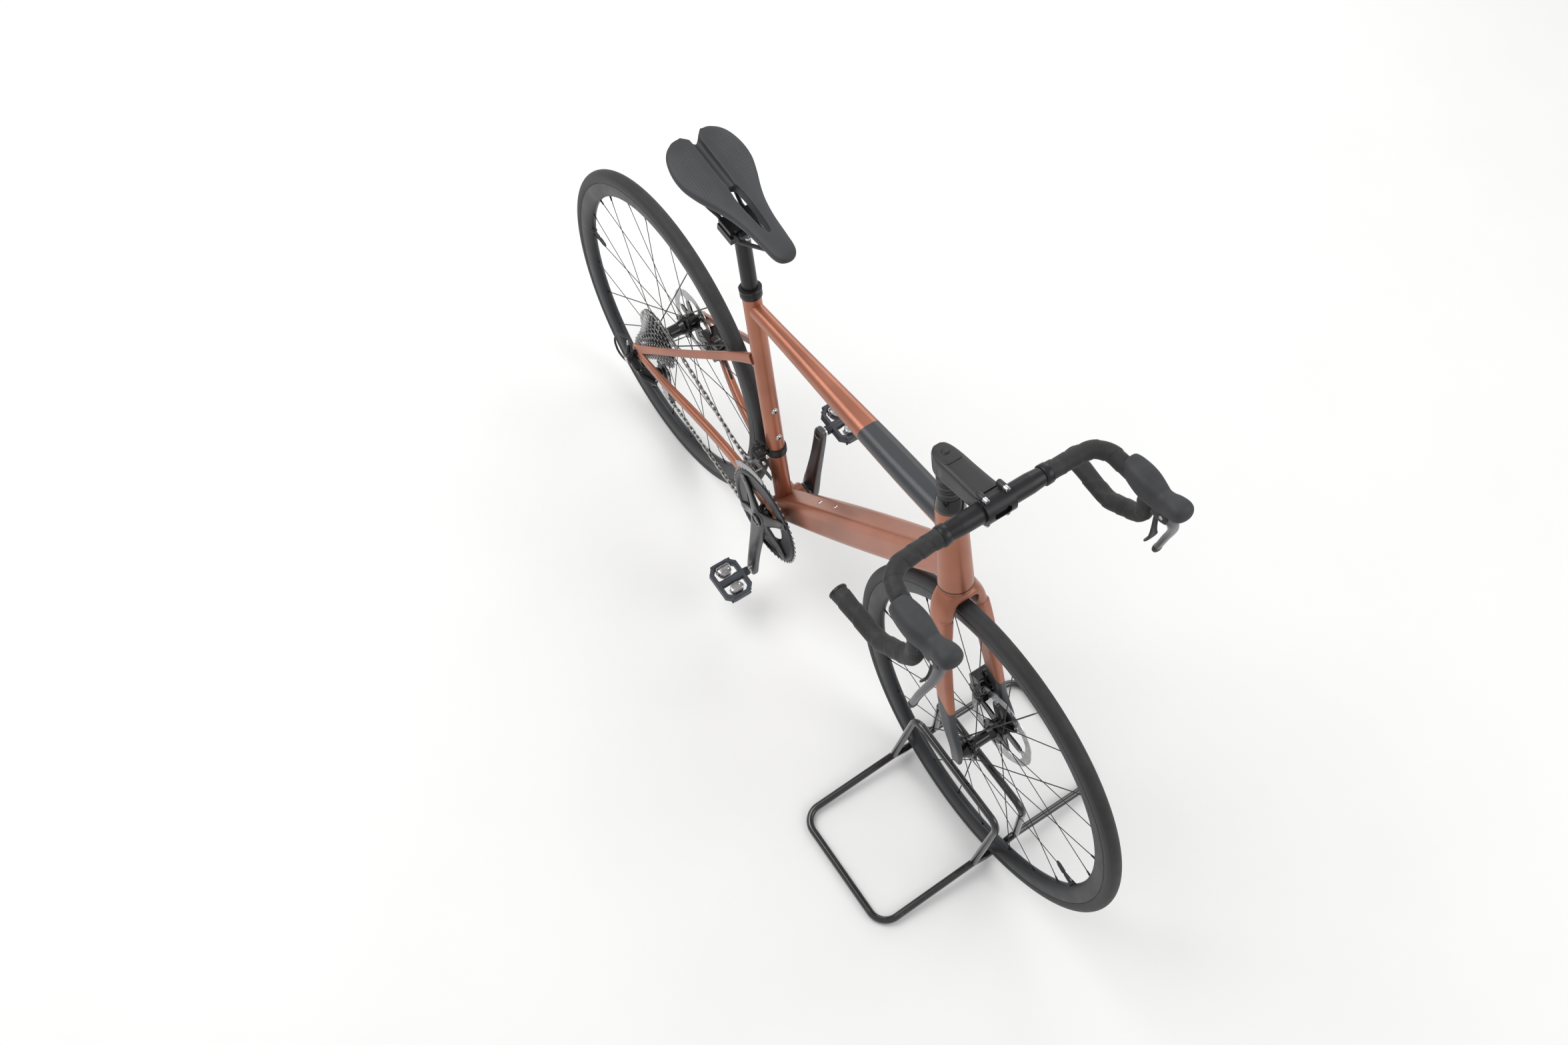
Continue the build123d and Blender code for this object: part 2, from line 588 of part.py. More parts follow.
collar_low = SEAT_TUBE_L
nodes["seat_collar"] = rod(seat(collar_low), seat(collar_low + COLLAR_H), SEAT_TUBE_R + 2.0) - rod(
    seat(collar_low - 1), seat(collar_low + COLLAR_H + 1), SEATPOST_R + 0.02
)
post = rod(seat(SEATPOST_BOTTOM), seat(SEATPOST_TOP - 18), SEATPOST_R) - rod(
    seat(SEATPOST_BOTTOM - 1), seat(SEATPOST_TOP - 30), SEATPOST_R - 2.4
)
RAIL_Z = seat(SEATPOST_TOP).Z + 6
clamp_x = seat(SEATPOST_TOP).X
cradle = Part() + Pos(clamp_x, 0, RAIL_Z - 10.5) * Box(40, 60, 13)
cradle += Part() + Pos(clamp_x, 0, RAIL_Z + 6.5) * Box(34, 60, 7)
cradle += rod((clamp_x, 0, RAIL_Z - 10), (clamp_x, 0, RAIL_Z + 8), 5)
for side in (DRIVE, LEFT):
    cradle -= rod((clamp_x - 40, side * RAIL_Y, RAIL_Z), (clamp_x + 40, side * RAIL_Y, RAIL_Z), RAIL_R + 0.02)
nodes["seatpost"] = post + rod(seat(SEATPOST_TOP - 20), seat(SEATPOST_TOP - 2), SEATPOST_R, 12) + cradle


# ---- saddle ----
def saddle():
    """Short-nosed shell: a loft from the broad tail to the narrow nose, notched and slotted."""
    stations = ((0.0, 0.66), (0.10, 0.90), (0.27, 1.0), (0.48, 0.72), (0.68, 0.40), (0.88, 0.31), (1.0, 0.24))
    heights = (22, 30, 34, 32, 28, 26, 20)
    faces = []
    for (t, w), h in zip(stations, heights):
        x = SADDLE_TAIL_X + t * SADDLE_LENGTH
        rise = 5.0 * (1 - t) ** 2
        plane = Plane(origin=(x, 0, SADDLE_TOP + rise - h / 2), x_dir=(0, 1, 0), z_dir=(1, 0, 0))
        faces.append(plane * RectangleRounded(w * SADDLE_WIDTH, h, 0.42 * h))
    body = Part() + loft(faces)
    under = [
        (SADDLE_TAIL_X + 14, SADDLE_TOP - 40), (SADDLE_TAIL_X + 14, SADDLE_TOP - 12),
        (SADDLE_TAIL_X + SADDLE_LENGTH - 20, SADDLE_TOP - 14), (SADDLE_TAIL_X + SADDLE_LENGTH - 20, SADDLE_TOP - 40),
    ]
    belly = Plane.XZ * make_face(Polyline(*under, close=True))
    width = SADDLE_WIDTH * 0.13
    body -= extrude(belly, width, both=True)
    slot = Pos(SADDLE_TAIL_X + 0.50 * SADDLE_LENGTH, 0, SADDLE_TOP) * extrude(SlotOverall(104, 17), 60, both=True)
    notch = Pos(SADDLE_TAIL_X, 0, SADDLE_TOP) * extrude(make_face(Polyline((-6, 26), (26, 0), (-6, -26), close=True)), 60, both=True)
    return body - slot - notch


nodes["saddle"] = saddle()


def saddle_rail(side):
    """Rail: a straight clamp stretch that rises into the shell at the nose and at the tail."""
    nose_x = SADDLE_TAIL_X + SADDLE_LENGTH - 34
    points = [
        (SADDLE_TAIL_X + 42, side * 36, SADDLE_TOP - 26), (clamp_x - 52, side * 27, RAIL_Z + 2),
        (clamp_x - 30, side * RAIL_Y, RAIL_Z), (clamp_x + 34, side * RAIL_Y, RAIL_Z),
        (nose_x - 18, side * 12, SADDLE_TOP - 30), (nose_x, side * 8, SADDLE_TOP - 17),
    ]
    return bent(points, [14, 14, 14, 14], RAIL_R)


nodes["saddle_rails"] = [saddle_rail(side) - nodes["saddle"] for side in (DRIVE, LEFT)]

# ---- crankset ----
CUP_Y = SHELL_HALF_W + 0.5
nodes["bottom_bracket"] = [
    turned(BB, [(SPINDLE_R + FIT, side * 32), (SHELL_BORE_R, side * 32), (SHELL_BORE_R, side * CUP_Y), (SPINDLE_R + FIT, side * CUP_Y)])
    for side in (DRIVE, LEFT)
]
SPIDER_IN = -(INNER_RING_Y + TOOTH_T / 2)
SPIDER_OUT = -(OUTER_RING_Y - TOOTH_T / 2)
PEDAL_AXLE_R = 6.0


def crank_end(side):
    """Pedal hole of a crank: the drive crank points down, the left one up."""
    a = math.radians(CRANK_TILT)
    return BB + Vector(math.sin(a), 0, -math.cos(a)) * (CRANK_L * (1 if side == DRIVE else -1))


def crank_arm(side):
    end = crank_end(side)
    line = end - BB
    y0, y1 = side * CRANK_ROOT_Y, side * CRANK_END_Y
    points = [
        BB - line * 0.06 + Vector(0, y0, 0), BB + line * 0.12 + Vector(0, y0 + side, 0),
        BB + line * 0.5 + Vector(0, (y0 + y1) / 2 + side * 3, 0), BB + line + Vector(0, y1, 0) + line * 0.06,
    ]
    faces = []
    for p, (w, d) in zip(points, [(15, 34), (15, 36), (14, 30), (13, 25)]):
        plane = Plane(origin=p, x_dir=(0, 1, 0), z_dir=line)
        faces.append(plane * RectangleRounded(w, d, 4.5))
    arm = Part() + loft(faces)
    arm -= cross_rod(end.X, end.Z, side * 40, side * 100, PEDAL_AXLE_R)
    arm -= cross_rod(end.X, end.Z, side * (CRANK_END_Y + 6.6), side * 100, 9.5)
    return arm


def crank_drive():
    body = crank_arm(DRIVE)
    body += cross_rod(BB.X, BB.Z, -66, -44, 20)
    body += cross_rod(BB.X, BB.Z, -60, 71, SPINDLE_R)
    for k in range(4):
        arm = Rot(0, 0, 45 + 90 * k + CRANK_TILT) * Pos(34, 0, 0) * Rectangle(60, 17)
        body += plate(BB, (SPIDER_IN + SPIDER_OUT) / 2, SPIDER_IN - SPIDER_OUT, arm)
    body -= cross_rod(BB.X, BB.Z, -80, 80, SPINDLE_R - 2.5)
    return body


nodes["crank_drive"] = crank_drive()
nodes["crank_left"] = crank_arm(LEFT) + cross_rod(BB.X, BB.Z, CUP_Y + GAP, 64, 19) - cross_rod(BB.X, BB.Z, 40, 80, SPINDLE_R)
tooth_phase = math.radians(-90 + CRANK_TILT)
nodes["chainrings"] = [
    plate(BB, -OUTER_RING_Y, TOOTH_T, sprocket(OUTER_TEETH, 58, tooth_phase)),
    plate(BB, -INNER_RING_Y, TOOTH_T, sprocket(INNER_TEETH, 54, tooth_phase)),
]


# ---- pedals ----
PEDAL_L, PEDAL_W, PEDAL_T = 86.0, 62.0, 17.0


def pedal(side):
    """Clipless pedal body: an open cage round a central barrel that turns on the axle."""
    end = crank_end(side)
    y_in = CRANK_END_Y + 22
    mid = side * (y_in + PEDAL_W / 2)
    block = Part() + Pos(end.X, mid, end.Z) * Box(PEDAL_L, PEDAL_W, PEDAL_T)
    block = chamfer(block.edges().filter_by(Axis.Z), 14)
    for dx in (-1, 1):
        block -= Pos(end.X + dx * 25, mid, end.Z) * Box(22, 38, PEDAL_T + 2)
    block += cross_rod(end.X, end.Z, side * (CRANK_END_Y + 12), side * (y_in + 2), 9.0)
    block += cross_rod(end.X, end.Z, side * y_in, side * (y_in + PEDAL_W - 4), 9.5)
    return block - cross_rod(end.X, end.Z, side * CRANK_END_Y, side * (y_in + PEDAL_W - 10), PEDAL_AXLE_R + FIT)


def pedal_axle(side):
    end = crank_end(side)
    inner = side * (CRANK_END_Y - 6.5)
    body = cross_rod(end.X, end.Z, inner, side * (CRANK_END_Y + 22 + PEDAL_W - 11), PEDAL_AXLE_R)
    return body + cross_rod(end.X, end.Z, side * (CRANK_END_Y + 6.7), side * (CRANK_END_Y + 11.6), 8.5)


nodes["pedal_drive"] = pedal(DRIVE)
nodes["pedal_left"] = pedal(LEFT)
nodes["pedal_axles"] = [pedal_axle(DRIVE), pedal_axle(LEFT)]

# ---- chain path ----
GUIDE = Vector(-486, 0, 249)
CAGE_L = 60.0
CAGE_ANGLE = -72.0         # direction of the tension pulley from the guide pulley
TENSION = GUIDE + Vector(math.cos(math.radians(CAGE_ANGLE)), 0, math.sin(math.radians(CAGE_ANGLE))) * CAGE_L
PULLEY_Y = -LARGE_COG_Y
LEAD = 36.0                # length of a run that stays in its wheel's plane at each end


def tangent(c0, r0, c1, r1, sign0, sign1):
    """Directed line tangent to two circles; a sign of 1 keeps the circle on the right of travel."""
    dx, dz = c1.X - c0.X, c1.Z - c0.Z
    d = math.hypot(dx, dz)
    base = math.atan2(dz, dx)
    turn = math.asin((sign0 * r0 - sign1 * r1) / d)
    heading = base + turn * -1
    nx, nz = -math.sin(heading), math.cos(heading)
    a = (c0.X + sign0 * r0 * nx, c0.Z + sign0 * r0 * nz)
    b = (c1.X + sign1 * r1 * nx, c1.Z + sign1 * r1 * nz)
    return a, b


def chain_points():
    """Pin positions, a pitch apart, round the ring, the large cog and the two pulleys."""
    wheels = [
        (BB, pitch_r(INNER_TEETH), 1, -INNER_RING_Y), (TENSION, pitch_r(PULLEY_TEETH), 1, PULLEY_Y),
        (GUIDE, pitch_r(PULLEY_TEETH), -1, PULLEY_Y), (REAR_AXLE, pitch_r(COGS[-1]), 1, cog_y(len(COGS) - 1)),
    ]
    runs = []
    count = len(wheels)
    for i in range(count):
        c0, r0, s0, y0 = wheels[i]
        c1, r1, s1, y1 = wheels[(i + 1) % count]
        runs.append((tangent(c0, r0, c1, r1, s0, s1), y0, y1))
    path = []
    for i in range(count):
        (a, b), y0, y1 = runs[i]
        length = math.hypot(b[0] - a[0], b[1] - a[1])
        steps = max(2, int(length))
        for k in range(steps):
            t = k / steps
            slant = min(max((t * length - LEAD) / (length - 2 * LEAD), 0.0), 1.0) if length > 3 * LEAD else t
            path.append((a[0] + (b[0] - a[0]) * t, y0 + (y1 - y0) * slant, a[1] + (b[1] - a[1]) * t))
        centre, r, sign, y = wheels[(i + 1) % count]
        (a2, b2), _, _ = runs[(i + 1) % count]
        start = math.atan2(b[1] - centre.Z, b[0] - centre.X)
        end = math.atan2(a2[1] - centre.Z, a2[0] - centre.X)
        sweep_angle = (start - end) % (2 * math.pi) if sign == 1 else (end - start) % (2 * math.pi)
        steps = max(2, int(sweep_angle * r))
        for k in range(steps):
            angle = start - sign * sweep_angle * k / steps
            path.append((centre.X + r * math.cos(angle), y, centre.Z + r * math.sin(angle)))
    total, marks = 0.0, [0.0]
    for p, q in zip(path, path[1:] + path[:1]):
        total += math.dist(p, q)
        marks.append(total)
    links = 2 * round(total / CHAIN_PITCH / 2)
    pins = []
    j = 0
    for k in range(links):
        want = total * k / links
        while marks[j + 1] < want:
            j += 1
        p, q = path[j], path[(j + 1) % len(path)]
        t = (want - marks[j]) / (marks[j + 1] - marks[j])
        pins.append(Vector(*(p[i] + (q[i] - p[i]) * t for i in range(3))))
    print("chain", round(total, 1), "mm, links", links, "pitch", round(total / links, 3))
    return pins


def chain():
    """Side plates of the links; inner and outer links alternate and lap each other."""
    pins = chain_points()
    group = []
    inner_face = TOOTH_T / 2 + GAP
    for k, p in enumerate(pins):
        q = pins[(k + 1) % len(pins)]
        line = q - p
        middle = (p + q) * 0.5
        offset = inner_face + PLATE_T / 2 + (0.0 if k % 2 else PLATE_T + 0.15)
        across = line.cross(Vector(0, 1, 0)).cross(line).normalized()
        for side in (-1, 1):
            plane = Plane(origin=middle + across * (side * offset), x_dir=line, z_dir=across)
            group.append(extrude(plane * SlotCenterToCenter(line.length - 0.4, LINK_H), PLATE_T / 2, both=True))
    return [Part() + g for g in group]


nodes["chain"] = chain()

# ---- rear derailleur ----
CAGE_HALF = 5.6
PLATE = 1.4
PULLEY_AXLE_R = 2.5


def pulley(centre):
    body = plate(centre, PULLEY_Y, TOOTH_T, sprocket(PULLEY_TEETH, PULLEY_AXLE_R + FIT, math.radians(8)))
    return body + (cross_rod(centre.X, centre.Z, PULLEY_Y - 4, PULLEY_Y + 4, 6) - cross_rod(centre.X, centre.Z, -60, 0, PULLEY_AXLE_R + FIT))


def rd_cage():
    """Two plates joined by the pulley axles, with a pivot boss on the outer plate."""
    mid = (GUIDE + TENSION) * 0.5
    outline = Rot(0, 0, CAGE_ANGLE) * SlotCenterToCenter(CAGE_L, 20)
    body = plate(mid, PULLEY_Y - CAGE_HALF, PLATE, outline) + plate(mid, PULLEY_Y + CAGE_HALF, PLATE, outline)
    for c in (GUIDE, TENSION):
        body += cross_rod(c.X, c.Z, PULLEY_Y - CAGE_HALF, PULLEY_Y + CAGE_HALF, PULLEY_AXLE_R)
    return body + cross_rod(GUIDE.X, GUIDE.Z, PULLEY_Y - CAGE_HALF, -48, 4.0)


nodes["rd_cage"] = rd_cage()
nodes["guide_pulley"] = pulley(GUIDE)
nodes["tension_pulley"] = pulley(TENSION)
HANGER = REAR_AXLE + Vector(-10, 0, -28)
KNUCKLE_Y = -34.0


def rear_derailleur():
    """Hanger, upper knuckle, parallelogram and lower knuckle."""
    hanger = limb(
        [REAR_AXLE + Vector(-4, -74.5, -12.5), HANGER + Vector(0, -74.5, -8)], [(6, 18), (6, 16)], 0.3
    )
    upper_k = cross_rod(HANGER.X, HANGER.Z, -78, -92, 10)
    arm = limb(
        [HANGER + Vector(0, -86, 2), HANGER + Vector(14, -74, -30), GUIDE + Vector(2, -52, 2)],
        [(13, 22), (16, 24), (14, 24)], 0.35,
    )
    knuckle = cross_rod(GUIDE.X, GUIDE.Z, KNUCKLE_Y, -58, 12)
    body = hanger + upper_k + arm + knuckle
    body += cross_rod(HANGER.X, HANGER.Z, -70, -88, 4)
    body -= cross_rod(GUIDE.X, GUIDE.Z, 0, -48 - GAP, 4.0 + FIT)
    return body - stays[DRIVE] - upper[DRIVE] - nodes["rear_axle"]


nodes["rear_derailleur"] = rear_derailleur()

# ---- front derailleur ----
FD_S = 150.0
FD_BODY_H = 24.0


def front_derailleur():
    band = rod(seat(FD_S - 8), seat(FD_S + 8), SEAT_TUBE_R + 2.4) - rod(seat(FD_S - 9), seat(FD_S + 9), SEAT_TUBE_R)
    base = seat(FD_S)
    body = band + (Part() + Pos(base.X - 12, -27, base.Z) * Box(24, 20, FD_BODY_H))
    body -= rod(seat(FD_S - 40), seat(FD_S + 40), SEAT_TUBE_R)
    return body


def fd_cage():
    """Two curved plates astride the chain, carried by a link from the clamp."""
    base = seat(FD_S)
    r0, r1 = pitch_r(OUTER_TEETH) + 4.6, pitch_r(OUTER_TEETH) + 18
    ring = Circle(r1) - Circle(r0)
    wedge = make_face(Polyline((0, 0), (-12, 200), (-260, 180), close=True))
    blade = ring & wedge
    y_out, y_in = -OUTER_RING_Y - 4.0, -INNER_RING_Y + 9.5
    body = plate(BB, y_out, 1.4, blade) + plate(BB, y_in, 1.4, blade)
    for turn, r in ((143, r0 + 2.5), (108, r1 - 2.5)):
        a = math.radians(turn)
        body += cross_rod(BB.X + r * math.cos(a), BB.Z + r * math.sin(a), y_out, y_in, 2.2)
    top = base.Z - FD_BODY_H / 2 - GAP
    link_x = base.X - 14
    foot = BB.Z + math.sqrt((r1 - 6) ** 2 - (link_x - BB.X) ** 2)
    link = Part() + Pos(link_x, y_in + 2.2, (top + foot) / 2) * Box(13, 4, top - foot)
    return body + link


nodes["front_derailleur"] = front_derailleur()
nodes["fd_cage"] = fd_cage()


# ---- calipers ----
def caliper(centre, length, rotor_y, side_y, tilt):
    """Flat-mount caliper: two piston halves joined over the rotor's edge."""
    block = Part() + Rot(0, -tilt, 0) * Box(length, 34, 30)
    block = Pos(centre.X, rotor_y + side_y, centre.Z) * block
    block = fillet(block.edges().filter_by(Axis.Y), 5)
    return Part() + block


front_caliper = caliper(FRONT_AXLE + Vector(-64, 0, 50), 62, FRONT_ROTOR_Y, 3, -64)
slot = cross_rod(FRONT_AXLE.X, WHEEL_R, FRONT_ROTOR_Y - 2.2, FRONT_ROTOR_Y + 2.2, FRONT_ROTOR_R + 2)
sweep_clear = cross_rod(FRONT_AXLE.X, WHEEL_R, -10, FRONT_ROTOR_Y + 30, 56)
nodes["front_caliper"] = front_caliper - slot - sweep_clear - nodes["fork"]
rear_caliper = caliper(REAR_AXLE + Vector(74, 0, 12), 62, REAR_ROTOR_Y, 1, -14)
slot = cross_rod(REAR_AXLE.X, WHEEL_R, REAR_ROTOR_Y - 2.2, REAR_ROTOR_Y + 2.2, REAR_ROTOR_R + 2)
nodes["rear_caliper"] = rear_caliper - slot - cross_rod(REAR_AXLE.X, WHEEL_R, 20, 90, 48) - stays[LEFT] - upper[LEFT]

# ---- stand ----
def hoop(side):
    points = [
        (STAND_REAR_X, side * FOOT_Y, FOOT_Z), (STAND_REAR_X + 8, side * HOOP_TOP_Y, HOOP_TOP_Z),
        (STAND_FRONT_X, side * HOOP_TOP_Y, HOOP_TOP_Z), (STAND_FRONT_X, side * FOOT_Y, FOOT_Z),
    ]
    return bent(points, [22, 22], STAND_TUBE_R)


ARM_SLOPE = (FOOT_Z - STAND_TUBE_R) / (STAND_HALF_W - FOOT_Y)
SOCKET_Z = FOOT_Z - (SOCKET_Y - FOOT_Y) * ARM_SLOPE


def stand_cross(x):
    """Cross tube: its dip lies just under the tyre, its arms fall away to the loops."""
    reach = WHEEL_R + STAND_TUBE_R + GAP
    dip = WHEEL_R - math.sqrt(reach**2 - (x - FRONT_AXLE.X) ** 2)
    points = [
        (x, -SOCKET_Y, SOCKET_Z), (x, -FOOT_Y, FOOT_Z), (x, -22, dip), (x, 22, dip),
        (x, FOOT_Y, FOOT_Z), (x, SOCKET_Y, SOCKET_Z),
    ]
    return bent(points, [20, 20, 20, 20], STAND_TUBE_R)


def stand_loop(side):
    points = [
        (STAND_REAR_X, side * SOCKET_Y, SOCKET_Z), (STAND_REAR_X, side * STAND_HALF_W, STAND_TUBE_R),
        (STAND_FRONT_X, side * STAND_HALF_W, STAND_TUBE_R), (STAND_FRONT_X, side * SOCKET_Y, SOCKET_Z),
    ]
    return bent(points, [34, 34], STAND_TUBE_R)


crosses = {x: stand_cross(x) for x in (STAND_REAR_X, STAND_FRONT_X)}
nodes["stand_cross_rear"] = crosses[STAND_REAR_X]
nodes["stand_cross_front"] = crosses[STAND_FRONT_X]
for name, side in (("drive", DRIVE), ("left", LEFT)):
    nodes[f"stand_hoop_{name}"] = max(
        (hoop(side) - crosses[STAND_REAR_X] - crosses[STAND_FRONT_X]).solids(), key=lambda s: s.volume
    )
    nodes[f"stand_loop_{name}"] = stand_loop(side)

# ---- hoses and cables ----
HOSE_R = 2.5


def bar_hose(side):
    """Brake hose from under the tape, below the bar, into the underside of the stem."""
    points = [
        (366, side * 87, 932.5), (361, side * 66, 928.5), (349, side * 43, 921), (331, side * 22, 914),
        (314, side * 11, 915.5),
    ]
    return cord(points, HOSE_R)


caliper_hose = cord([(424, 43, 412), (424, 44, 428), (432, 46, 442), (447, 47, 449)], HOSE_R)
nodes["front_hoses"] = [bar_hose(DRIVE), bar_hose(LEFT), caliper_hose]
gear_loop = cord(
    [
        (-509, -74.5, 341), (-534, -77, 343), (-560, -83, 331), (-569, -88, 304), (-553, -89, 282),
        (-528, -87, 280), (-508, -83, 289),
    ],
    2.2,
)
rear_hose = cord([(-352, 52, 306), (-364, 52.5, 322), (-379, 54, 335), (-398, 56, 345)], HOSE_R)
nodes["frame_cables"] = [gear_loop, rear_hose]

# ---- write one file per node ----
os.makedirs("parts", exist_ok=True)
for name, shape in nodes.items():
    solids = [s for item in (shape if isinstance(shape, list) else [shape]) for s in item.solids()]
    out = solids[0] if len(solids) == 1 else Compound(solids)
    out.label = name
    export_step(out, f"parts/{name}.step")
print(len(nodes), "nodes")
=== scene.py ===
"""Road bicycle held upright by a tubular floor stand: surfaces, small parts and finishes."""

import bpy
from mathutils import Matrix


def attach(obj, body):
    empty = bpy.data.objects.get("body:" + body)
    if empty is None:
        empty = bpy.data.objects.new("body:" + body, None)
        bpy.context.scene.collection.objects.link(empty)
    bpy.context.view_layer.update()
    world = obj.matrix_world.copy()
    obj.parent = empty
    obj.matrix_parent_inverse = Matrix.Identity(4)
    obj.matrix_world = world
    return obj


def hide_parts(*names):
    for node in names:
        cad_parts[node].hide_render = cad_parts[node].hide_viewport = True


bl_info = {
    "name": "Road Bicycle on Floor Stand",
    "version": (1, 0, 0),
    "blender": (4, 5, 0),
    "location": "View3D > Sidebar > Bicycle",
    "description": "Builds the visible pieces and finishes of a road bicycle in its stand",
    "category": "Object",
}

import math

import bmesh
import bpy
import numpy as np
from mathutils import Matrix, Vector

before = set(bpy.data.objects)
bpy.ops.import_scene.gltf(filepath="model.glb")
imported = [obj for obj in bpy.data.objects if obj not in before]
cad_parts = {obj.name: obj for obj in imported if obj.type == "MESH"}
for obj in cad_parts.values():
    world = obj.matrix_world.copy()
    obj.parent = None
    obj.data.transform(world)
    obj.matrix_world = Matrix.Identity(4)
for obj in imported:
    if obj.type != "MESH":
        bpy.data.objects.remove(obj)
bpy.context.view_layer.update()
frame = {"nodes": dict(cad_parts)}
NODES = frame["nodes"]
MM = 0.001

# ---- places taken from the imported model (mm) ----
FRONT = np.array([500.0, 339.0])
REAR = np.array([-500.0, 339.0])
CRANK = np.array([-94.0, 268.0])
WHEEL_R = 339.0
TYRE_W = 28.0
SPOKES = 24
HEAD_ANGLE, SEAT_ANGLE = math.radians(72), math.radians(74)
BAR_X, BAR_Z, HOOD_Y = 366.0, 950.0, 201.0
DRIVE, LEFT = -1, 1


def steer(s, forward=0.0, y=0.0):
    """Point s up the steering axis, moved forward off it and y to the left."""
    c, n = math.cos(HEAD_ANGLE), math.sin(HEAD_ANGLE)
    return np.array([500 - 45 * n - s * c + forward * n, y, 339 - 45 * c + s * n + forward * c])


def seat(s, forward=0.0, y=0.0):
    """Point s up the seat tube from the crank axis, moved forward off it and y to the left."""
    c, n = math.cos(SEAT_ANGLE), math.sin(SEAT_ANGLE)
    return np.array([-94 - s * c + forward * n, y, 268 + s * n + forward * c])


# ---- shader graphs ----
class Val:
    """A shader socket that can be used in sums, products and comparisons."""

    def __init__(self, finish, socket):
        self.finish, self.socket = finish, socket

    def maths(self, operation, *others):
        inputs = {i: v for i, v in enumerate((self, *others))}
        return self.finish.node("ShaderNodeMath", {"operation": operation}, inputs)

    def __add__(self, other):
        return self.maths("ADD", other)

    def __sub__(self, other):
        return self.maths("SUBTRACT", other)

    def __mul__(self, other):
        return self.maths("MULTIPLY", other)

    def __truediv__(self, other):
        return self.maths("DIVIDE", other)

    def __rsub__(self, other):
        return self.finish.node("ShaderNodeMath", {"operation": "SUBTRACT"}, {0: other, 1: self})

    __radd__, __rmul__ = __add__, __mul__

    def __gt__(self, other):
        return self.maths("GREATER_THAN", other)

    def __lt__(self, other):
        return self.maths("LESS_THAN", other)


class Finish:
    """One material: a Principled surface and the nodes that feed it."""

    def __init__(self, name, base, rough=0.5, metal=0.0, **sockets):
        self.material = bpy.data.materials.new(name)
        self.material.use_nodes = True
        self.material.diffuse_color = (*base, 1.0)
        self.tree = self.material.node_tree
        self.tree.nodes.clear()
        self.out = self.tree.nodes.new("ShaderNodeOutputMaterial")
        self.surface = self.tree.nodes.new("ShaderNodeBsdfPrincipled")
        self.tree.links.new(self.surface.outputs[0], self.out.inputs[0])
        self.surface.inputs["Base Color"].default_value = (*base, 1.0)
        self.surface.inputs["Roughness"].default_value = rough
        self.surface.inputs["Metallic"].default_value = metal
        for socket, value in sockets.items():
            self.surface.inputs[socket.replace("_", " ")].default_value = value
        self.base = base
        self.places = {}

    def node(self, kind, settings=None, inputs=None, out=0):
        """Adds a node, its settings first, then the value or link of each input."""
        made = self.tree.nodes.new(kind)
        for key, value in (settings or {}).items():
            if key == "stops":
                ramp = made.color_ramp
                while len(ramp.elements) < len(value):
                    ramp.elements.new(0.5)
                for element, (at, colour) in zip(ramp.elements, value):
                    element.position, element.color = at, (*colour, 1.0)
            else:
                setattr(made, key, value)
        for key, value in (inputs or {}).items():
            if isinstance(value, Val):
                self.tree.links.new(value.socket, made.inputs[key])
            else:
                made.inputs[key].default_value = value
        return Val(self, made.outputs[out])

    def coords(self, which="Object"):
        if which not in self.places:
            if which == "UV":
                self.places[which] = self.node("ShaderNodeUVMap", {"uv_map": "UVMap"})
            else:
                self.places[which] = self.node("ShaderNodeTexCoord", out=which)
        return self.places[which]

    def axis(self, name, which="Object"):
        """One coordinate, in metres."""
        key = which + name
        if key not in self.places:
            self.places[key] = self.node(
                "ShaderNodeSeparateXYZ", inputs={0: self.coords(which)}, out="XYZ".index(name)
            )
        return self.places[key]

    def noise(self, scale, detail=2.0, rough=0.5, stretch=None, which="Object", out=0):
        where = self.coords(which)
        if stretch:
            where = self.node("ShaderNodeMapping", inputs={"Vector": where, "Scale": stretch})
        return self.node(
            "ShaderNodeTexNoise", inputs={
                "Vector": where, "Scale": scale, "Detail": detail, "Roughness": rough
            }, out=out
        )

    def span(self, value, low, high, to_low=0.0, to_high=1.0, smooth=False):
        """Carries a value from one range to another, held at the ends."""
        return self.node(
            "ShaderNodeMapRange",
            {"interpolation_type": "SMOOTHSTEP" if smooth else "LINEAR", "clamp": True},
            {"Value": value, "From Min": low, "From Max": high, "To Min": to_low, "To Max": to_high},
        )

    def blend(self, mask, a, b):
        """Colour a where the mask is 0, colour b where it is 1."""
        fix = lambda c: (*c, 1.0) if isinstance(c, tuple) and len(c) == 3 else c
        return self.node("ShaderNodeMix", {"data_type": "RGBA"}, {0: mask, 6: fix(a), 7: fix(b)}, out=2)

    def paint(self, colour=None, rough=None, metal=None, coat=None):
        for key, value in (
            ("Base Color", colour), ("Roughness", rough), ("Metallic", metal), ("Coat Weight", coat)
        ):
            if isinstance(value, Val):
                self.tree.links.new(value.socket, self.surface.inputs[key])

    def bump(self, height, strength=0.3, distance=0.0002):
        """Relief: the height is in units of the given distance in metres."""
        out = self.node("ShaderNodeBump", inputs={"Height": height, "Strength": strength, "Distance": distance})
        self.tree.links.new(out.socket, self.surface.inputs["Normal"])

    def mottle(self, amount=0.12, scale=60.0, rough_span=(0.0, 0.0)):
        """Gentle unevenness of colour, and of gloss when a span is given."""
        cloud = self.noise(scale, 4.0, 0.6)
        dark = tuple(c * (1 - amount) for c in self.base)
        light = tuple(min(1.0, c * (1 + amount)) for c in self.base)
        colour = self.blend(self.span(cloud, 0.35, 0.65), dark, light)
        low, high = rough_span
        self.paint(colour=colour, rough=self.span(cloud, 0.3, 0.7, low, high) if high else None)
        return cloud


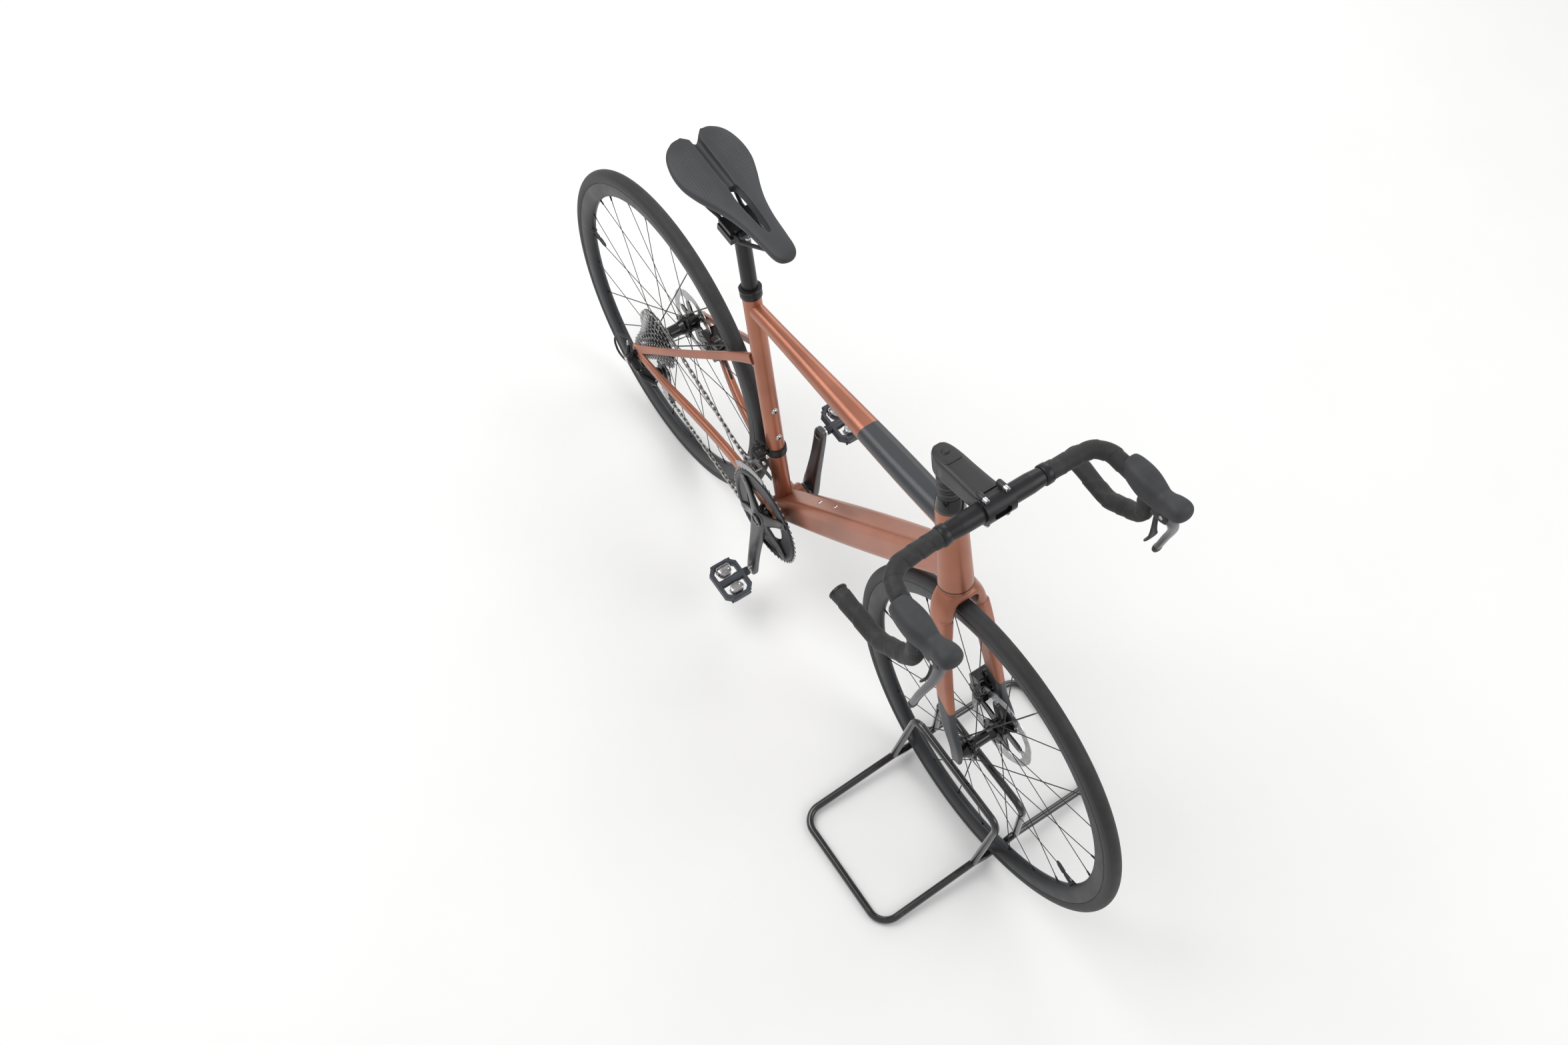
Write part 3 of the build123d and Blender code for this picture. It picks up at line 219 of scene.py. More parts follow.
# ---- mesh helpers ----
class Shape:
    """Collects grids of points into one mesh, with UV in metres where a grid gives them."""

    def __init__(self):
        self.points, self.faces, self.uvs, self.slots, self.count = [], [], [], [], 0

    def grid(self, p, wrap_u=False, wrap_v=False, caps=(False, False), uv=None, slot=0, flip=False):
        """A sheet through an (n, m, 3) array of points in mm; ends can be closed with a fan."""
        p = np.asarray(p, float)
        n, m = p.shape[:2]
        base = self.count
        self.points.append(p.reshape(-1, 3))
        self.count += n * m
        u = np.arange(n if wrap_u else n - 1)
        v = np.arange(m if wrap_v else m - 1)
        u, v = (a.ravel() for a in np.meshgrid(u, v, indexing="ij"))
        u1, v1 = (u + 1) % n, (v + 1) % m
        quads = np.stack([base + u * m + v, base + u1 * m + v, base + u1 * m + v1, base + u * m + v1], 1)
        if uv is None:
            corner = np.zeros((len(quads), 4, 2))
        else:
            uv = np.asarray(uv, float)
            far_u, far_v = np.minimum(u + 1, uv.shape[0] - 1), np.minimum(v + 1, uv.shape[1] - 1)
            corner = np.stack([uv[u, v], uv[far_u, v], uv[far_u, far_v], uv[u, far_v]], 1)
        if flip:
            quads, corner = quads[:, ::-1], corner[:, ::-1]
        self.faces += quads.tolist()
        self.uvs.append(corner.reshape(-1, 2))
        self.slots += [slot] * len(quads)
        for end, row in ((0, 0), (1, n - 1)):
            if caps[end]:
                self.points.append(p[row].mean(0)[None])
                hub, self.count = self.count, self.count + 1
                a = base + row * m + np.arange(m if wrap_v else m - 1)
                b = base + row * m + (np.arange(m if wrap_v else m - 1) + 1) % m
                tri = np.stack([a, b, np.full_like(a, hub)], 1)
                if (end == 1) != flip:
                    tri = tri[:, ::-1]
                self.faces += tri.tolist()
                self.uvs.append(np.zeros((len(tri) * 3, 2)))
                self.slots += [slot] * len(tri)
        return self

    def mesh(self, name, materials):
        data = bpy.data.meshes.new(name)
        points = np.concatenate(self.points) * MM
        data.from_pydata(points.tolist(), [], self.faces)
        layer = data.uv_layers.new(name="UVMap")
        layer.data.foreach_set("uv", np.concatenate(self.uvs).astype(np.float32).ravel())
        for material in materials:
            data.materials.append(material)
        data.polygons.foreach_set("material_index", self.slots)
        data.polygons.foreach_set("use_smooth", [True] * len(data.polygons))
        data.update()
        return data


def place(name, mesh, body, replaces=(), sharp=35.0):
    """Links a mesh at the origin, gives it crisp creases and lets it ride on its body."""
    recalc(mesh)
    piece = bpy.data.objects.new(name, mesh)
    bpy.context.scene.collection.objects.link(piece)
    if sharp:
        mesh.set_sharp_from_angle(angle=math.radians(sharp))
    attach(piece, body)
    if replaces:
        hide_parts(*replaces)
    return piece


def circle(count, start=0.0):
    """Angles evenly round a circle, the first not repeated."""
    return start + np.arange(count) * 2 * math.pi / count


def wheel_ring(centre, profile, segments=192):
    """Profile of (radius, y) turned about a wheel axis: x and z go round, y stays."""
    profile = np.asarray(profile, float)
    a = circle(segments)[:, None]
    r, y = profile[None, :, 0], profile[None, :, 1]
    x = centre[0] + r * np.cos(a)
    z = centre[1] + r * np.sin(a)
    return np.stack([x, np.broadcast_to(y, x.shape), z], 2)


def arc_lengths(profile):
    """Running length along a profile, starting from zero."""
    step = np.linalg.norm(np.diff(np.asarray(profile, float), axis=0), axis=1)
    return np.concatenate([[0.0], np.cumsum(step)])


def basis(direction, hint=(0.0, 0.0, 1.0)):
    """Two unit vectors square to a direction, the second nearest to the hint."""
    d = np.asarray(direction, float) / np.linalg.norm(direction)
    side = np.cross(hint, d)
    if np.linalg.norm(side) < 1e-6:
        side = np.cross((1.0, 0.0, 0.0), d)
    side /= np.linalg.norm(side)
    return side, np.cross(d, side)


def spin(start, end, profile, segments=24, caps=True):
    """Profile of (radius, share of the way) turned about the line from start to end."""
    start, end = np.asarray(start, float), np.asarray(end, float)
    side, up = basis(end - start)
    profile = np.asarray(profile, float)
    a = circle(segments)
    ring = np.cos(a)[:, None] * side + np.sin(a)[:, None] * up
    return start + (end - start) * profile[:, 1, None, None] + profile[:, 0, None, None] * ring[None]


def rod(shape, start, end, r, segments=20, bevel=0.0, slot=0, r_end=None):
    """Closed round bar with an optional rounded edge at both ends."""
    length = np.linalg.norm(np.asarray(end, float) - np.asarray(start, float))
    r_end = r if r_end is None else r_end
    if bevel:
        b = bevel / length
        profile = [
            (r - bevel, 0), (r - bevel * 0.3, b * 0.3), (r, b), (r_end, 1 - b), (r_end - bevel * 0.3, 1 - b * 0.3),
            (r_end - bevel, 1)
        ]
    else:
        profile = [(r, 0), (r_end, 1)]
    return shape.grid(spin(start, end, profile, segments), wrap_v=True, caps=(True, True), slot=slot)


def bend(points, radii, step=6.0):
    """Polyline with its corners rounded: straight runs and arcs, sampled about every step."""
    points = [np.asarray(p, float) for p in points]
    out = [points[0]]
    for a, b, c, r in zip(points, points[1:], points[2:], radii):
        u, v = (a - b) / np.linalg.norm(a - b), (c - b) / np.linalg.norm(c - b)
        half = math.acos(np.clip(u @ v, -1, 1)) / 2
        reach = r / math.tan(half)
        middle = b + (u + v) / np.linalg.norm(u + v) * r / math.sin(half)
        e0, e1 = b + u * reach - middle, b + v * reach - middle
        turn = math.pi - 2 * half
        for t in np.linspace(0, 1, max(3, int(r * turn / step) + 2)):
            w0, w1 = math.sin((1 - t) * turn) / math.sin(turn), math.sin(t * turn) / math.sin(turn)
            out.append(middle + e0 * w0 + e1 * w1)
    out.append(points[-1])
    out = np.array(out)
    along = arc_lengths(out)
    fine = np.linspace(0, along[-1], max(2, int(along[-1] / step) + 1))
    return np.stack([np.interp(fine, along, out[:, i]) for i in range(3)], 1)


def carry(path, sections, hint=(0.0, 0.0, 1.0)):
    """Carries (side, up) sections along a path, keeping up as near to the hint as it can."""
    path = np.asarray(path, float)
    ahead = np.gradient(path, axis=0)
    out = []
    for p, d, s in zip(path, ahead, sections):
        side, up = basis(d, hint)
        out.append(p + s[:, 0, None] * side + s[:, 1, None] * up)
    return np.array(out)


def squircle(width, depth, power=4.0, count=32):
    """Closed outline between an ellipse (power 2) and a rectangle (large power)."""
    a = circle(count)
    c, s = np.cos(a), np.sin(a)
    k = (np.abs(c) ** power + np.abs(s) ** power) ** (-1 / power)
    return np.stack([k * c * width / 2, k * s * depth / 2], 1)


def parallel(path):
    """Turning-free frames along a path: two unit vectors at every point."""
    path = np.asarray(path, float)
    ahead = np.gradient(path, axis=0)
    ahead /= np.linalg.norm(ahead, axis=1)[:, None]
    side = basis(ahead[0])[0]
    out = []
    for d in ahead:
        side = side - d * (side @ d)
        side /= np.linalg.norm(side)
        out.append((side, np.cross(d, side)))
    return np.array(out)


def sleeve(path, radius, count=28):
    """Tube round a path: radius is a function of running length and angle, in mm."""
    frames = parallel(path)
    along = arc_lengths(path)
    a = circle(count)
    r = radius(along[:, None], a[None, :]) * np.ones((len(along), count))
    ring = np.cos(a)[None, :, None] * frames[:, 0, None] + np.sin(a)[None, :, None] * frames[:, 1, None]
    return np.asarray(path)[:, None] + ring * r[:, :, None]


def flat_plate(loops, thickness, to_place, bevel=0.0):
    """Outlines in mm, holes included, filled and thickened, then carried to their place."""
    curve = bpy.data.curves.new("outline", "CURVE")
    curve.dimensions, curve.fill_mode = "2D", "BOTH"
    curve.extrude = thickness / 2 - bevel
    curve.bevel_depth, curve.bevel_resolution = bevel, 0
    for loop in loops:
        spline = curve.splines.new("POLY")
        spline.points.add(len(loop) - 1)
        flat = np.zeros((len(loop), 4))
        flat[:, :2], flat[:, 3] = loop, 1.0
        spline.points.foreach_set("co", flat.ravel())
        spline.use_cyclic_u = True
    carrier = bpy.data.objects.new("outline", curve)
    mesh = bpy.data.meshes.new_from_object(carrier)
    bpy.data.objects.remove(carrier)
    bpy.data.curves.remove(curve)
    co = np.zeros(len(mesh.vertices) * 3)
    mesh.vertices.foreach_get("co", co)
    co = to_place(co.reshape(-1, 3)) * MM
    mesh.vertices.foreach_set("co", co.ravel())
    mesh.update()
    return mesh


def on_disc(centre, y):
    """Places a plate across Y at y: outline x is +X, outline y is +Z."""
    def carry_out(co):
        return np.stack([centre[0] + co[:, 0], y - co[:, 2], centre[1] + co[:, 1]], 1)
    return carry_out


def add_mesh(shape, mesh, slot=0):
    """Moves a finished mesh into a shape."""
    co = np.zeros(len(mesh.vertices) * 3)
    mesh.vertices.foreach_get("co", co)
    base = shape.count
    shape.points.append(co.reshape(-1, 3) / MM)
    shape.count += len(mesh.vertices)
    for polygon in mesh.polygons:
        shape.faces.append([base + v for v in polygon.vertices])
    shape.uvs.append(np.zeros((sum(len(p.vertices) for p in mesh.polygons), 2)))
    shape.slots += [slot] * len(mesh.polygons)
    bpy.data.meshes.remove(mesh)
    return shape


def ring_loop(r, count=96, wave=0.0, lobes=1):
    a = circle(count)
    rr = r + wave * np.cos(lobes * a)
    return np.stack([rr * np.cos(a), rr * np.sin(a)], 1)


def dress(node, *materials):
    """Gives a CAD node its finish."""
    slots = NODES[node].data.materials
    slots.clear()
    for material in materials:
        slots.append(material)


# ---- finishes ----
def copper_paint(tint, dark, name="copper_paint"):
    """Satin metallic paint: fine flake, a soft cloud of tone and faint orange-peel relief."""
    f = Finish(name, tint, 0.36, 0.62, Coat_Weight=0.22, Coat_Roughness=0.28)
    flake = f.noise(5200.0, 1.0, 0.5)
    cloud = f.noise(9.0, 2.0, 0.5)
    warm = tuple(min(1.0, c * 1.16) for c in tint)
    deep = tuple(c * 0.84 for c in tint)
    colour = f.blend(f.span(cloud, 0.3, 0.7), deep, warm)
    colour = f.blend(f.span(flake, 0.6, 0.8, 0.0, 0.35), colour, tuple(min(1.0, c * 1.7) for c in tint))
    f.paint(colour=colour, rough=f.span(flake, 0.3, 0.7, 0.31, 0.42))
    f.bump(f.noise(420.0, 2.0, 0.5), 0.06, 0.0004)
    return f, colour


def masked_paint(name, tint, dark, make_mask):
    """Copper paint with a satin dark-grey panel where the mask is 1."""
    f, colour = copper_paint(tint, dark, name)
    mask = make_mask(f)
    edge = f.span(mask, 0.0, 1.0)
    f.paint(
        colour=f.blend(edge, colour, dark),
        rough=f.span(edge, 0.0, 1.0, 0.37, 0.44),
        metal=f.span(edge, 0.0, 1.0, 0.62, 0.25),
    )
    return f.material


def step(f, value, at, width=0.0006):
    """0 below a level and 1 above it, with a paint-line's softness."""
    return f.span(value, at - width / 2, at + width / 2)


def tyre_rubber():
    """Black rubber: slick crown, hatched shoulders, slanted sipes and a moulded side rib."""
    f = Finish("tyre_rubber", (0.021, 0.021, 0.023), 0.62)
    u, v = f.axis("X", "UV"), f.axis("Y", "UV")
    side = v.maths("ABSOLUTE")
    band = f.span(side, 0.0042, 0.0046) * f.span(side, 0.0094, 0.0098, 1.0, 0.0)
    hatch = ((u + side * 0.9) * (2 * math.pi / 0.0019)).maths("SINE")
    sipe = ((u + side * 2.6) * (1 / 0.074)).maths("FRACT")
    cut = (sipe > 0.93) * (sipe < 0.965) * f.span(side, 0.003, 0.0034) * f.span(side, 0.0125, 0.0129, 1.0, 0.0)
    rib = ((side - 0.0168).maths("ABSOLUTE") < 0.0004) + ((side - 0.0196).maths("ABSOLUTE") < 0.0004)
    grain = f.noise(1500.0, 3.0, 0.6)
    f.bump(hatch * band * 0.5 - cut * 1.6 + rib * 0.8 + grain * 0.25, 0.55, 0.00028)
    scuff = f.span(f.noise(22.0, 5.0, 0.65), 0.45, 0.8)
    crown = f.span(side, 0.002, 0.012, 1.0, 0.0)
    colour = f.blend(scuff * (0.35 + crown * 0.4), (0.019, 0.019, 0.021), (0.047, 0.046, 0.045))
    colour = f.blend(f.span(side, 0.0125, 0.0150), colour, (0.026, 0.026, 0.028))
    f.paint(colour=colour, rough=f.span(grain, 0.3, 0.7, 0.52, 0.70))
    return f.material


def satin_metal(name, base, rough=0.4, metal=0.6, cloud=0.10, scale=30.0, grain=900.0, coat=0.0):
    """Anodised or painted metal: faint cloud of tone, fine grain, small smudges in the gloss."""
    f = Finish(name, base, rough, metal, Coat_Weight=coat, Coat_Roughness=0.15)
    f.mottle(cloud, scale, (rough * 0.86, min(1.0, rough * 1.16)))
    f.bump(f.noise(grain, 2.0, 0.5), 0.10, 0.00012)
    return f.material


def brushed_disc(name, base, centre, rough=0.3):
    """Machined metal whose fine lines run round a wheel axis."""
    f = Finish(name, base, rough, 0.95)
    x, z = f.axis("X") - centre[0] * MM, f.axis("Z") - centre[1] * MM
    radius = (x * x + z * z).maths("SQRT")
    lines = f.node("ShaderNodeTexNoise", {"noise_dimensions": "1D"}, {"W": radius, "Scale": 5200.0, "Detail": 2.0})
    stain = f.noise(45.0, 4.0, 0.6)
    colour = f.blend(f.span(stain, 0.35, 0.7), tuple(c * 0.8 for c in base), base)
    f.paint(colour=colour, rough=f.span(lines, 0.25, 0.75, rough * 0.7, rough * 1.5))
    f.bump(lines, 0.12, 0.00008)
    return f.material


def bar_tape_skin():
    """Wrapped tape: fine embossed pores and rubbed patches."""
    f = Finish("bar_tape", (0.017, 0.017, 0.018), 0.66, 0.0, Sheen_Weight=0.05)
    u, v = f.axis("X", "UV"), f.axis("Y", "UV")
    pore = (u * (2 * math.pi / 0.0021)).maths("SINE") * (v * (2 * math.pi / 0.0021)).maths("SINE")
    grain = f.noise(1300.0, 3.0, 0.65)
    f.bump(pore * 0.35 + grain * 0.7, 0.4, 0.00018)
    rub = f.span(f.noise(38.0, 5.0, 0.7), 0.5, 0.85)
    f.paint(
        colour=f.blend(rub, (0.015, 0.015, 0.016), (0.045, 0.045, 0.047)), rough=f.span(grain, 0.3, 0.7, 0.58, 0.76)
    )
    return f.material


def hood_rubber():
    """Soft moulded rubber: fine matt grain and a pattern of small diamonds on the flanks."""
    f = Finish("hood_rubber", (0.030, 0.031, 0.034), 0.62)
    x, z, y = f.axis("X"), f.axis("Z"), f.axis("Y")
    k = 2 * math.pi / 0.0042
    diamond = ((x + z) * k).maths("SINE") * ((x - z) * k).maths("SINE")
    where = f.span((y.maths("ABSOLUTE") - 0.2015).maths("ABSOLUTE"), 0.012, 0.015)
    grain = f.noise(1700.0, 3.0, 0.6)
    f.bump(f.span(diamond, 0.25, 0.6) * where * 0.8 + grain * 0.5, 0.4, 0.0002)
    cloud = f.span(f.noise(28.0, 4.0, 0.6), 0.35, 0.75)
    f.paint(
        colour=f.blend(cloud, (0.026, 0.027, 0.030), (0.042, 0.043, 0.047)),
        rough=f.span(grain, 0.3, 0.7, 0.56, 0.7)
    )
    return f.material


def saddle_cover():
    """Dull synthetic cover: pebbled grain, with raised dots on the two wings."""
    f = Finish("saddle_cover", (0.030, 0.031, 0.034), 0.6, Sheen_Weight=0.04)
    x, y, z = f.axis("X"), f.axis("Y"), f.axis("Z")
    off = y.maths("ABSOLUTE")
    k = 2 * math.pi / 0.0086
    dots = f.span(((x + off) * k).maths("SINE") * ((x - off) * k).maths("SINE"), 0.55, 0.85)
    wing = f.span(off, 0.018, 0.024) * f.span(off, 0.050, 0.057, 1.0, 0.0) * f.span(x, -0.402, -0.39)
    wing = wing * f.span(x + off * 1.1, -0.262, -0.25, 1.0, 0.0) * f.span(z, 0.938, 0.944)
    grain = f.noise(1500.0, 4.0, 0.65)
    f.bump(grain * 0.5 - dots * wing * 1.2, 0.45, 0.0002)
    cloud = f.span(f.noise(14.0, 4.0, 0.6), 0.35, 0.75)
    colour = f.blend(cloud, (0.026, 0.027, 0.030), (0.038, 0.039, 0.043))
    colour = f.blend(dots * wing * 0.75, colour, (0.085, 0.087, 0.092))
    f.paint(colour=colour, rough=f.span(grain, 0.3, 0.7, 0.52, 0.68) - dots * wing * 0.18)
    return f.material


def ring_finish():
    """Dark anodised chainring whose teeth are bare, bright metal."""
    f = Finish("ring_grey", (0.045, 0.046, 0.050), 0.34, 0.8)
    x, z = f.axis("X") - CRANK[0] * MM, f.axis("Z") - CRANK[1] * MM
    radius = (x * x + z * z).maths("SQRT")
    worn = f.noise(300.0, 4.0, 0.6)
    teeth = f.span(radius + worn * 0.0012, 0.0995, 0.1012)
    colour = f.blend(teeth, (0.045, 0.046, 0.050), (0.30, 0.30, 0.31))
    lines = f.node("ShaderNodeTexNoise", {"noise_dimensions": "1D"}, {"W": radius, "Scale": 2600.0, "Detail": 2.0})
    f.paint(colour=colour, rough=f.span(lines, 0.3, 0.7, 0.26, 0.42))
    f.bump(lines, 0.12, 0.0001)
    return f.material


def chain_metal(name, base, rough=0.3):
    """Oiled chain: bright metal with dark film gathered in patches."""
    f = Finish(name, base, rough, 0.95)
    film = f.span(f.noise(420.0, 4.0, 0.65), 0.45, 0.7)
    f.paint(
        colour=f.blend(film, base, tuple(c * 0.25 for c in base)), rough=f.span(film, 0.0, 1.0, rough, rough + 0.25)
    )
    f.bump(f.noise(900.0, 2.0), 0.15, 0.0001)
    return f.material


def gloss_tube():
    """Thick gloss-black coat on bent tube: soft ripples, dust and a few rubbed places."""
    f = Finish("stand_gloss", (0.012, 0.012, 0.014), 0.16, 0.0, Coat_Weight=0.6, Coat_Roughness=0.08)
    dust = f.span(f.noise(70.0, 6.0, 0.7), 0.5, 0.8)
    rub = f.span(f.noise(26.0, 3.0, 0.5), 0.66, 0.74)
    colour = f.blend(dust * 0.4, (0.012, 0.012, 0.014), (0.05, 0.05, 0.052))
    f.paint(colour=f.blend(rub * 0.5, colour, (0.06, 0.06, 0.062)), rough=f.span(dust, 0.0, 1.0, 0.14, 0.34))
    f.bump(f.noise(90.0, 2.0), 0.08, 0.0006)
    return f.material


def studio_floor():
    """Plain pale floor."""
    f = Finish("studio_floor", (0.90, 0.90, 0.895), 0.6)
    f.paint(colour=f.blend(f.span(f.noise(2.2, 4.0, 0.6), 0.4, 0.75), (0.905, 0.905, 0.90), (0.885, 0.885, 0.88)))
    return f.material


MATERIALS = {}


def finish(name):
    """Makes each finish once, from the colours of the panel."""
    if name in MATERIALS:
        return MATERIALS[name]
    colours = bpy.context.scene.bicycle_colours
    tint, dark = tuple(colours.frame), tuple(colours.panel)
    black = tuple(colours.fittings)
    top_line = (0.734, 0.142)

    def top_panel(f):
        x, z = f.axis("X"), f.axis("Z")
        height = z - x * top_line[1] - (top_line[0] + 0.2274 * top_line[1])
        return step(f, x, 0.093) * step(f, height, -0.004)

    def fork_tips(f):
        return step(f, f.axis("Z") + (f.axis("X") - 0.478) * 0.55, 0.427, 0.0006).maths("MULTIPLY", -1.0) + 1.0

    makers = {
        "copper": lambda: copper_paint(tint, dark)[0].material,
        "top_tube": lambda: masked_paint("copper_top_tube", tint, dark, top_panel),
        "fork": lambda: masked_paint("copper_fork", tint, dark, fork_tips),
        "tyre": tyre_rubber,
        "rim": lambda: satin_metal("rim_satin", (0.032, 0.033, 0.036), 0.42, 0.55, 0.15),
        "black": lambda: satin_metal("fittings_black", black, 0.36, 0.45, 0.12),
        "gloss_black": lambda: satin_metal("gloss_black", (0.006, 0.006, 0.007), 0.12, 0.0, 0.1, coat=0.25),
        "spoke": lambda: satin_metal("spoke_black", (0.014, 0.014, 0.015), 0.34, 0.6, 0.1),
        "stem": lambda: satin_metal("stem_grey", (0.034, 0.034, 0.036), 0.42, 0.35, 0.12),
        "stem_side": lambda: satin_metal("stem_side", (0.085, 0.082, 0.078), 0.45, 0.4, 0.12),
        "chrome": lambda: satin_metal("bolt_chrome", (0.52, 0.52, 0.53), 0.16, 1.0, 0.06, 80.0),
        "steel": lambda: satin_metal("bright_steel", (0.55, 0.55, 0.56), 0.26, 0.95, 0.10, 120.0),
        "rotor_front": lambda: brushed_disc("rotor_front", (0.62, 0.62, 0.63), FRONT, 0.26),
        "rotor_rear": lambda: brushed_disc("rotor_rear", (0.62, 0.62, 0.63), REAR, 0.26),
        "cassette": lambda: brushed_disc("cassette_steel", (0.50, 0.50, 0.51), REAR, 0.30),
        "tape": bar_tape_skin,
        "hood": hood_rubber,
        "lever": lambda: satin_metal("lever_grey", (0.15, 0.15, 0.16), 0.33, 0.75, 0.10),
        "saddle": saddle_cover,
        "crank": lambda: satin_metal("crank_grey", (0.115, 0.115, 0.12), 0.32, 0.8, 0.10),
        "ring": ring_finish,
        "pedal": lambda: satin_metal("pedal_grey", (0.060, 0.066, 0.078), 0.48, 0.3, 0.14),
        "chain": lambda: chain_metal("chain_bright", (0.52, 0.51, 0.49)),
        "pins": lambda: chain_metal("chain_pins", (0.16, 0.155, 0.15), 0.35),
        "cage": lambda: satin_metal("cage_grey", (0.36, 0.36, 0.37), 0.30, 0.9, 0.10, 90.0),
        "plastic": lambda: satin_metal("moulded_black", (0.018, 0.018, 0.019), 0.5, 0.0, 0.15, 60.0, 1200.0),
        "hose": lambda: satin_metal("hose_black", (0.010, 0.010, 0.011), 0.4, 0.0, 0.15, 60.0),
        "stand": gloss_tube,
    }
    MATERIALS[name] = makers[name]()
    return MATERIALS[name]


# ---- wheels ----
def build_tyre(name, centre, body, node):
    """Closed tube: outer arc of the casing with a raised tread, inner arc 2.4 mm inside it."""
    reach = math.radians(123)
    phi = np.linspace(-reach, reach, 61)
    lift = 0.30 * np.clip((math.radians(62) - np.abs(phi)) / math.radians(3), 0, 1)
    r, core = TYRE_W / 2 - 0.3 + lift, WHEEL_R - TYRE_W / 2
    outer = np.stack([core + r * np.cos(phi), r * np.sin(phi)], 1)
    inner = np.stack([core + 11.2 * np.cos(phi[::-4]), 11.2 * np.sin(phi[::-4])], 1)
    profile = np.concatenate([outer, inner])
    points = wheel_ring(centre, profile, 288)
    across = np.concatenate([(TYRE_W / 2) * phi, np.full(len(inner), reach * TYRE_W / 2)]) * MM
    round_ = np.linspace(0, 2 * math.pi * WHEEL_R, 289) * MM
    uv = np.stack(np.meshgrid(round_, across, indexing="ij"), 2)
    shape = Shape().grid(points, wrap_u=True, wrap_v=True, uv=uv)
    place(name, shape.mesh(name, [finish("tyre")]), body, [node], 60)


def smooth_through(points, count):
    """Catmull-Rom curve through a list of points, evenly spread over its spans."""
    p = np.asarray(points, float)
    p = np.concatenate([2 * p[:1] - p[1:2], p, 2 * p[-1:] - p[-2:-1]])
    t = np.linspace(0, len(p) - 3 - 1e-9, count)
    i, f = t.astype(int), (t % 1)[:, None]
    a, b, c, d = (p[i + k] for k in range(4))
    return 0.5 * (2 * b + (c - a) * f + (2 * a - 5 * b + 4 * c - d) * f**2 + (3 * b - a - 3 * c + d) * f**3)


def build_rim(name, centre, body, node):
    """Closed ring: deep rounded nose inside, two hooked flanges outside."""
    half = [(286.6, 0.0), (287.2, 3.2), (290.0, 6.8), (295.0, 9.6), (302.0, 11.4), (310.0, 12.1), (315.8, 12.1)]
    side = smooth_through(half, 26)
    edge = np.array([(316.8, 11.8), (317.2, 11.2), (317.0, 10.6), (312.0, 10.3), (310.4, 8.0), (309.6, 0.0)])
    right = np.concatenate([side, edge])
    left = right[::-1][1:-1] * (1, -1)
    shape = Shape().grid(wheel_ring(centre, np.concatenate([right, left]), 256), wrap_u=True, wrap_v=True)
    place(name, shape.mesh(name, [finish("rim")]), body, [node], 50)


def spoke_lines(centre, flange_left, flange_drive):
    """Start and end of every spoke, two-cross, as in the CAD model."""
    per_side, lean = SPOKES // 2, math.radians(60)
    lines = []
    for side, flange in ((LEFT, flange_left), (DRIVE, flange_drive)):
        for k in range(per_side):
            at = k * 2 * math.pi / per_side + (math.pi / per_side if side == DRIVE else 0.0)
            to = at + (lean if k % 2 else -lean)
            face = 1.5 if k % 2 else -1.5
            start = np.array([centre[0] + 22.5 * math.cos(at), flange + face, centre[1] + 22.5 * math.sin(at)])
            end = np.array([centre[0] + 288 * math.cos(to), side * 1.2, centre[1] + 288 * math.sin(to)])
            lines.append((start, end))
    return lines


def build_spokes(name, centre, body, flanges, node):
    """Flat-bladed spokes: a 1.7 mm round at both ends pressed to 2.6 by 1.1 mm between."""
    shape = Shape()
    for start, end in spoke_lines(centre, *flanges):
        d = (end - start) / np.linalg.norm(end - start)
        path = start + np.outer((0.0, 0.05, 0.10, 0.90, 0.95, 1.0), end - start)
        sections = [
            squircle(w, h, 2.0, 8) for w,
            h in ((1.8, 1.8), (1.8, 1.8), (1.2, 2.6), (1.2, 2.6), (1.8, 1.8), (1.8, 1.8))
        ]
        shape.grid(carry(path, sections, tuple(np.cross(d, (0, 1, 0)))), wrap_v=True, caps=(True, True))
    place(name, shape.mesh(name, [finish("spoke")]), body, [node], 40)


def build_spoke_ends(name, centre, body, flanges, valve_angle):
    """Nipples at the rim, elbow heads at the flanges, and the valve with its nut and cap."""
    shape = Shape()
    for start, end in spoke_lines(centre, *flanges):
        d = (end - start) / np.linalg.norm(end - start)
        profile = [(1.0, 0.0), (1.55, 0.12), (1.75, 0.5), (2.1, 0.85), (2.2, 1.0)]
        shape.grid(spin(end - d * 11, end + d * 1.0, profile, 10), wrap_v=True, caps=(True, True))
        out = np.array([0.0, math.copysign(1.0, start[1] - np.mean(flanges)), 0.0])
        shape.grid(
            spin(start - d * 1.4, start + d * 5, [(1.35, 0), (1.5, 0.2), (1.35, 0.45), (0.95, 1)], 10), wrap_v=True,
            caps=(True, True)
        )
        rod(shape, start - out * 2.2, start + out * 2.2, 1.5, 10, 0.5)
    a = math.radians(valve_angle)
    inward = np.array([-math.cos(a), 0.0, -math.sin(a)])
    foot = np.array([centre[0], 0, centre[1]]) - inward * 288.0
    profile = [
        (3.0, 0.0), (3.0, 0.42), (2.6, 0.45), (2.6, 0.52), (3.4, 0.53), (3.6, 0.60), (3.3, 0.86), (2.2, 0.96),
        (1.2, 1.0)
    ]
    shape.grid(spin(foot, foot + inward * 47, profile, 20), wrap_v=True, caps=(True, True), slot=1)
    nut = [(3.0, 0.0), (6.2, 0.02), (6.2, 0.6), (5.0, 0.9), (3.0, 1.0)]
    shape.grid(spin(foot + inward * 0.4, foot + inward * 5.4, nut, 24), wrap_v=True, caps=(True, True), slot=1)
    place(name, shape.mesh(name, [finish("spoke"), finish("plastic")]), body)


def pulses(a, count, width, soft, phase=0.0):
    """1 on evenly spaced arms of a given angular width, falling to 0 over a soft edge."""
    gap = np.abs((a - phase + math.pi / count) % (2 * math.pi / count) - math.pi / count)
    t = np.clip((width / 2 + soft - gap) / soft, 0, 1)
    return t * t * (3 - 2 * t)


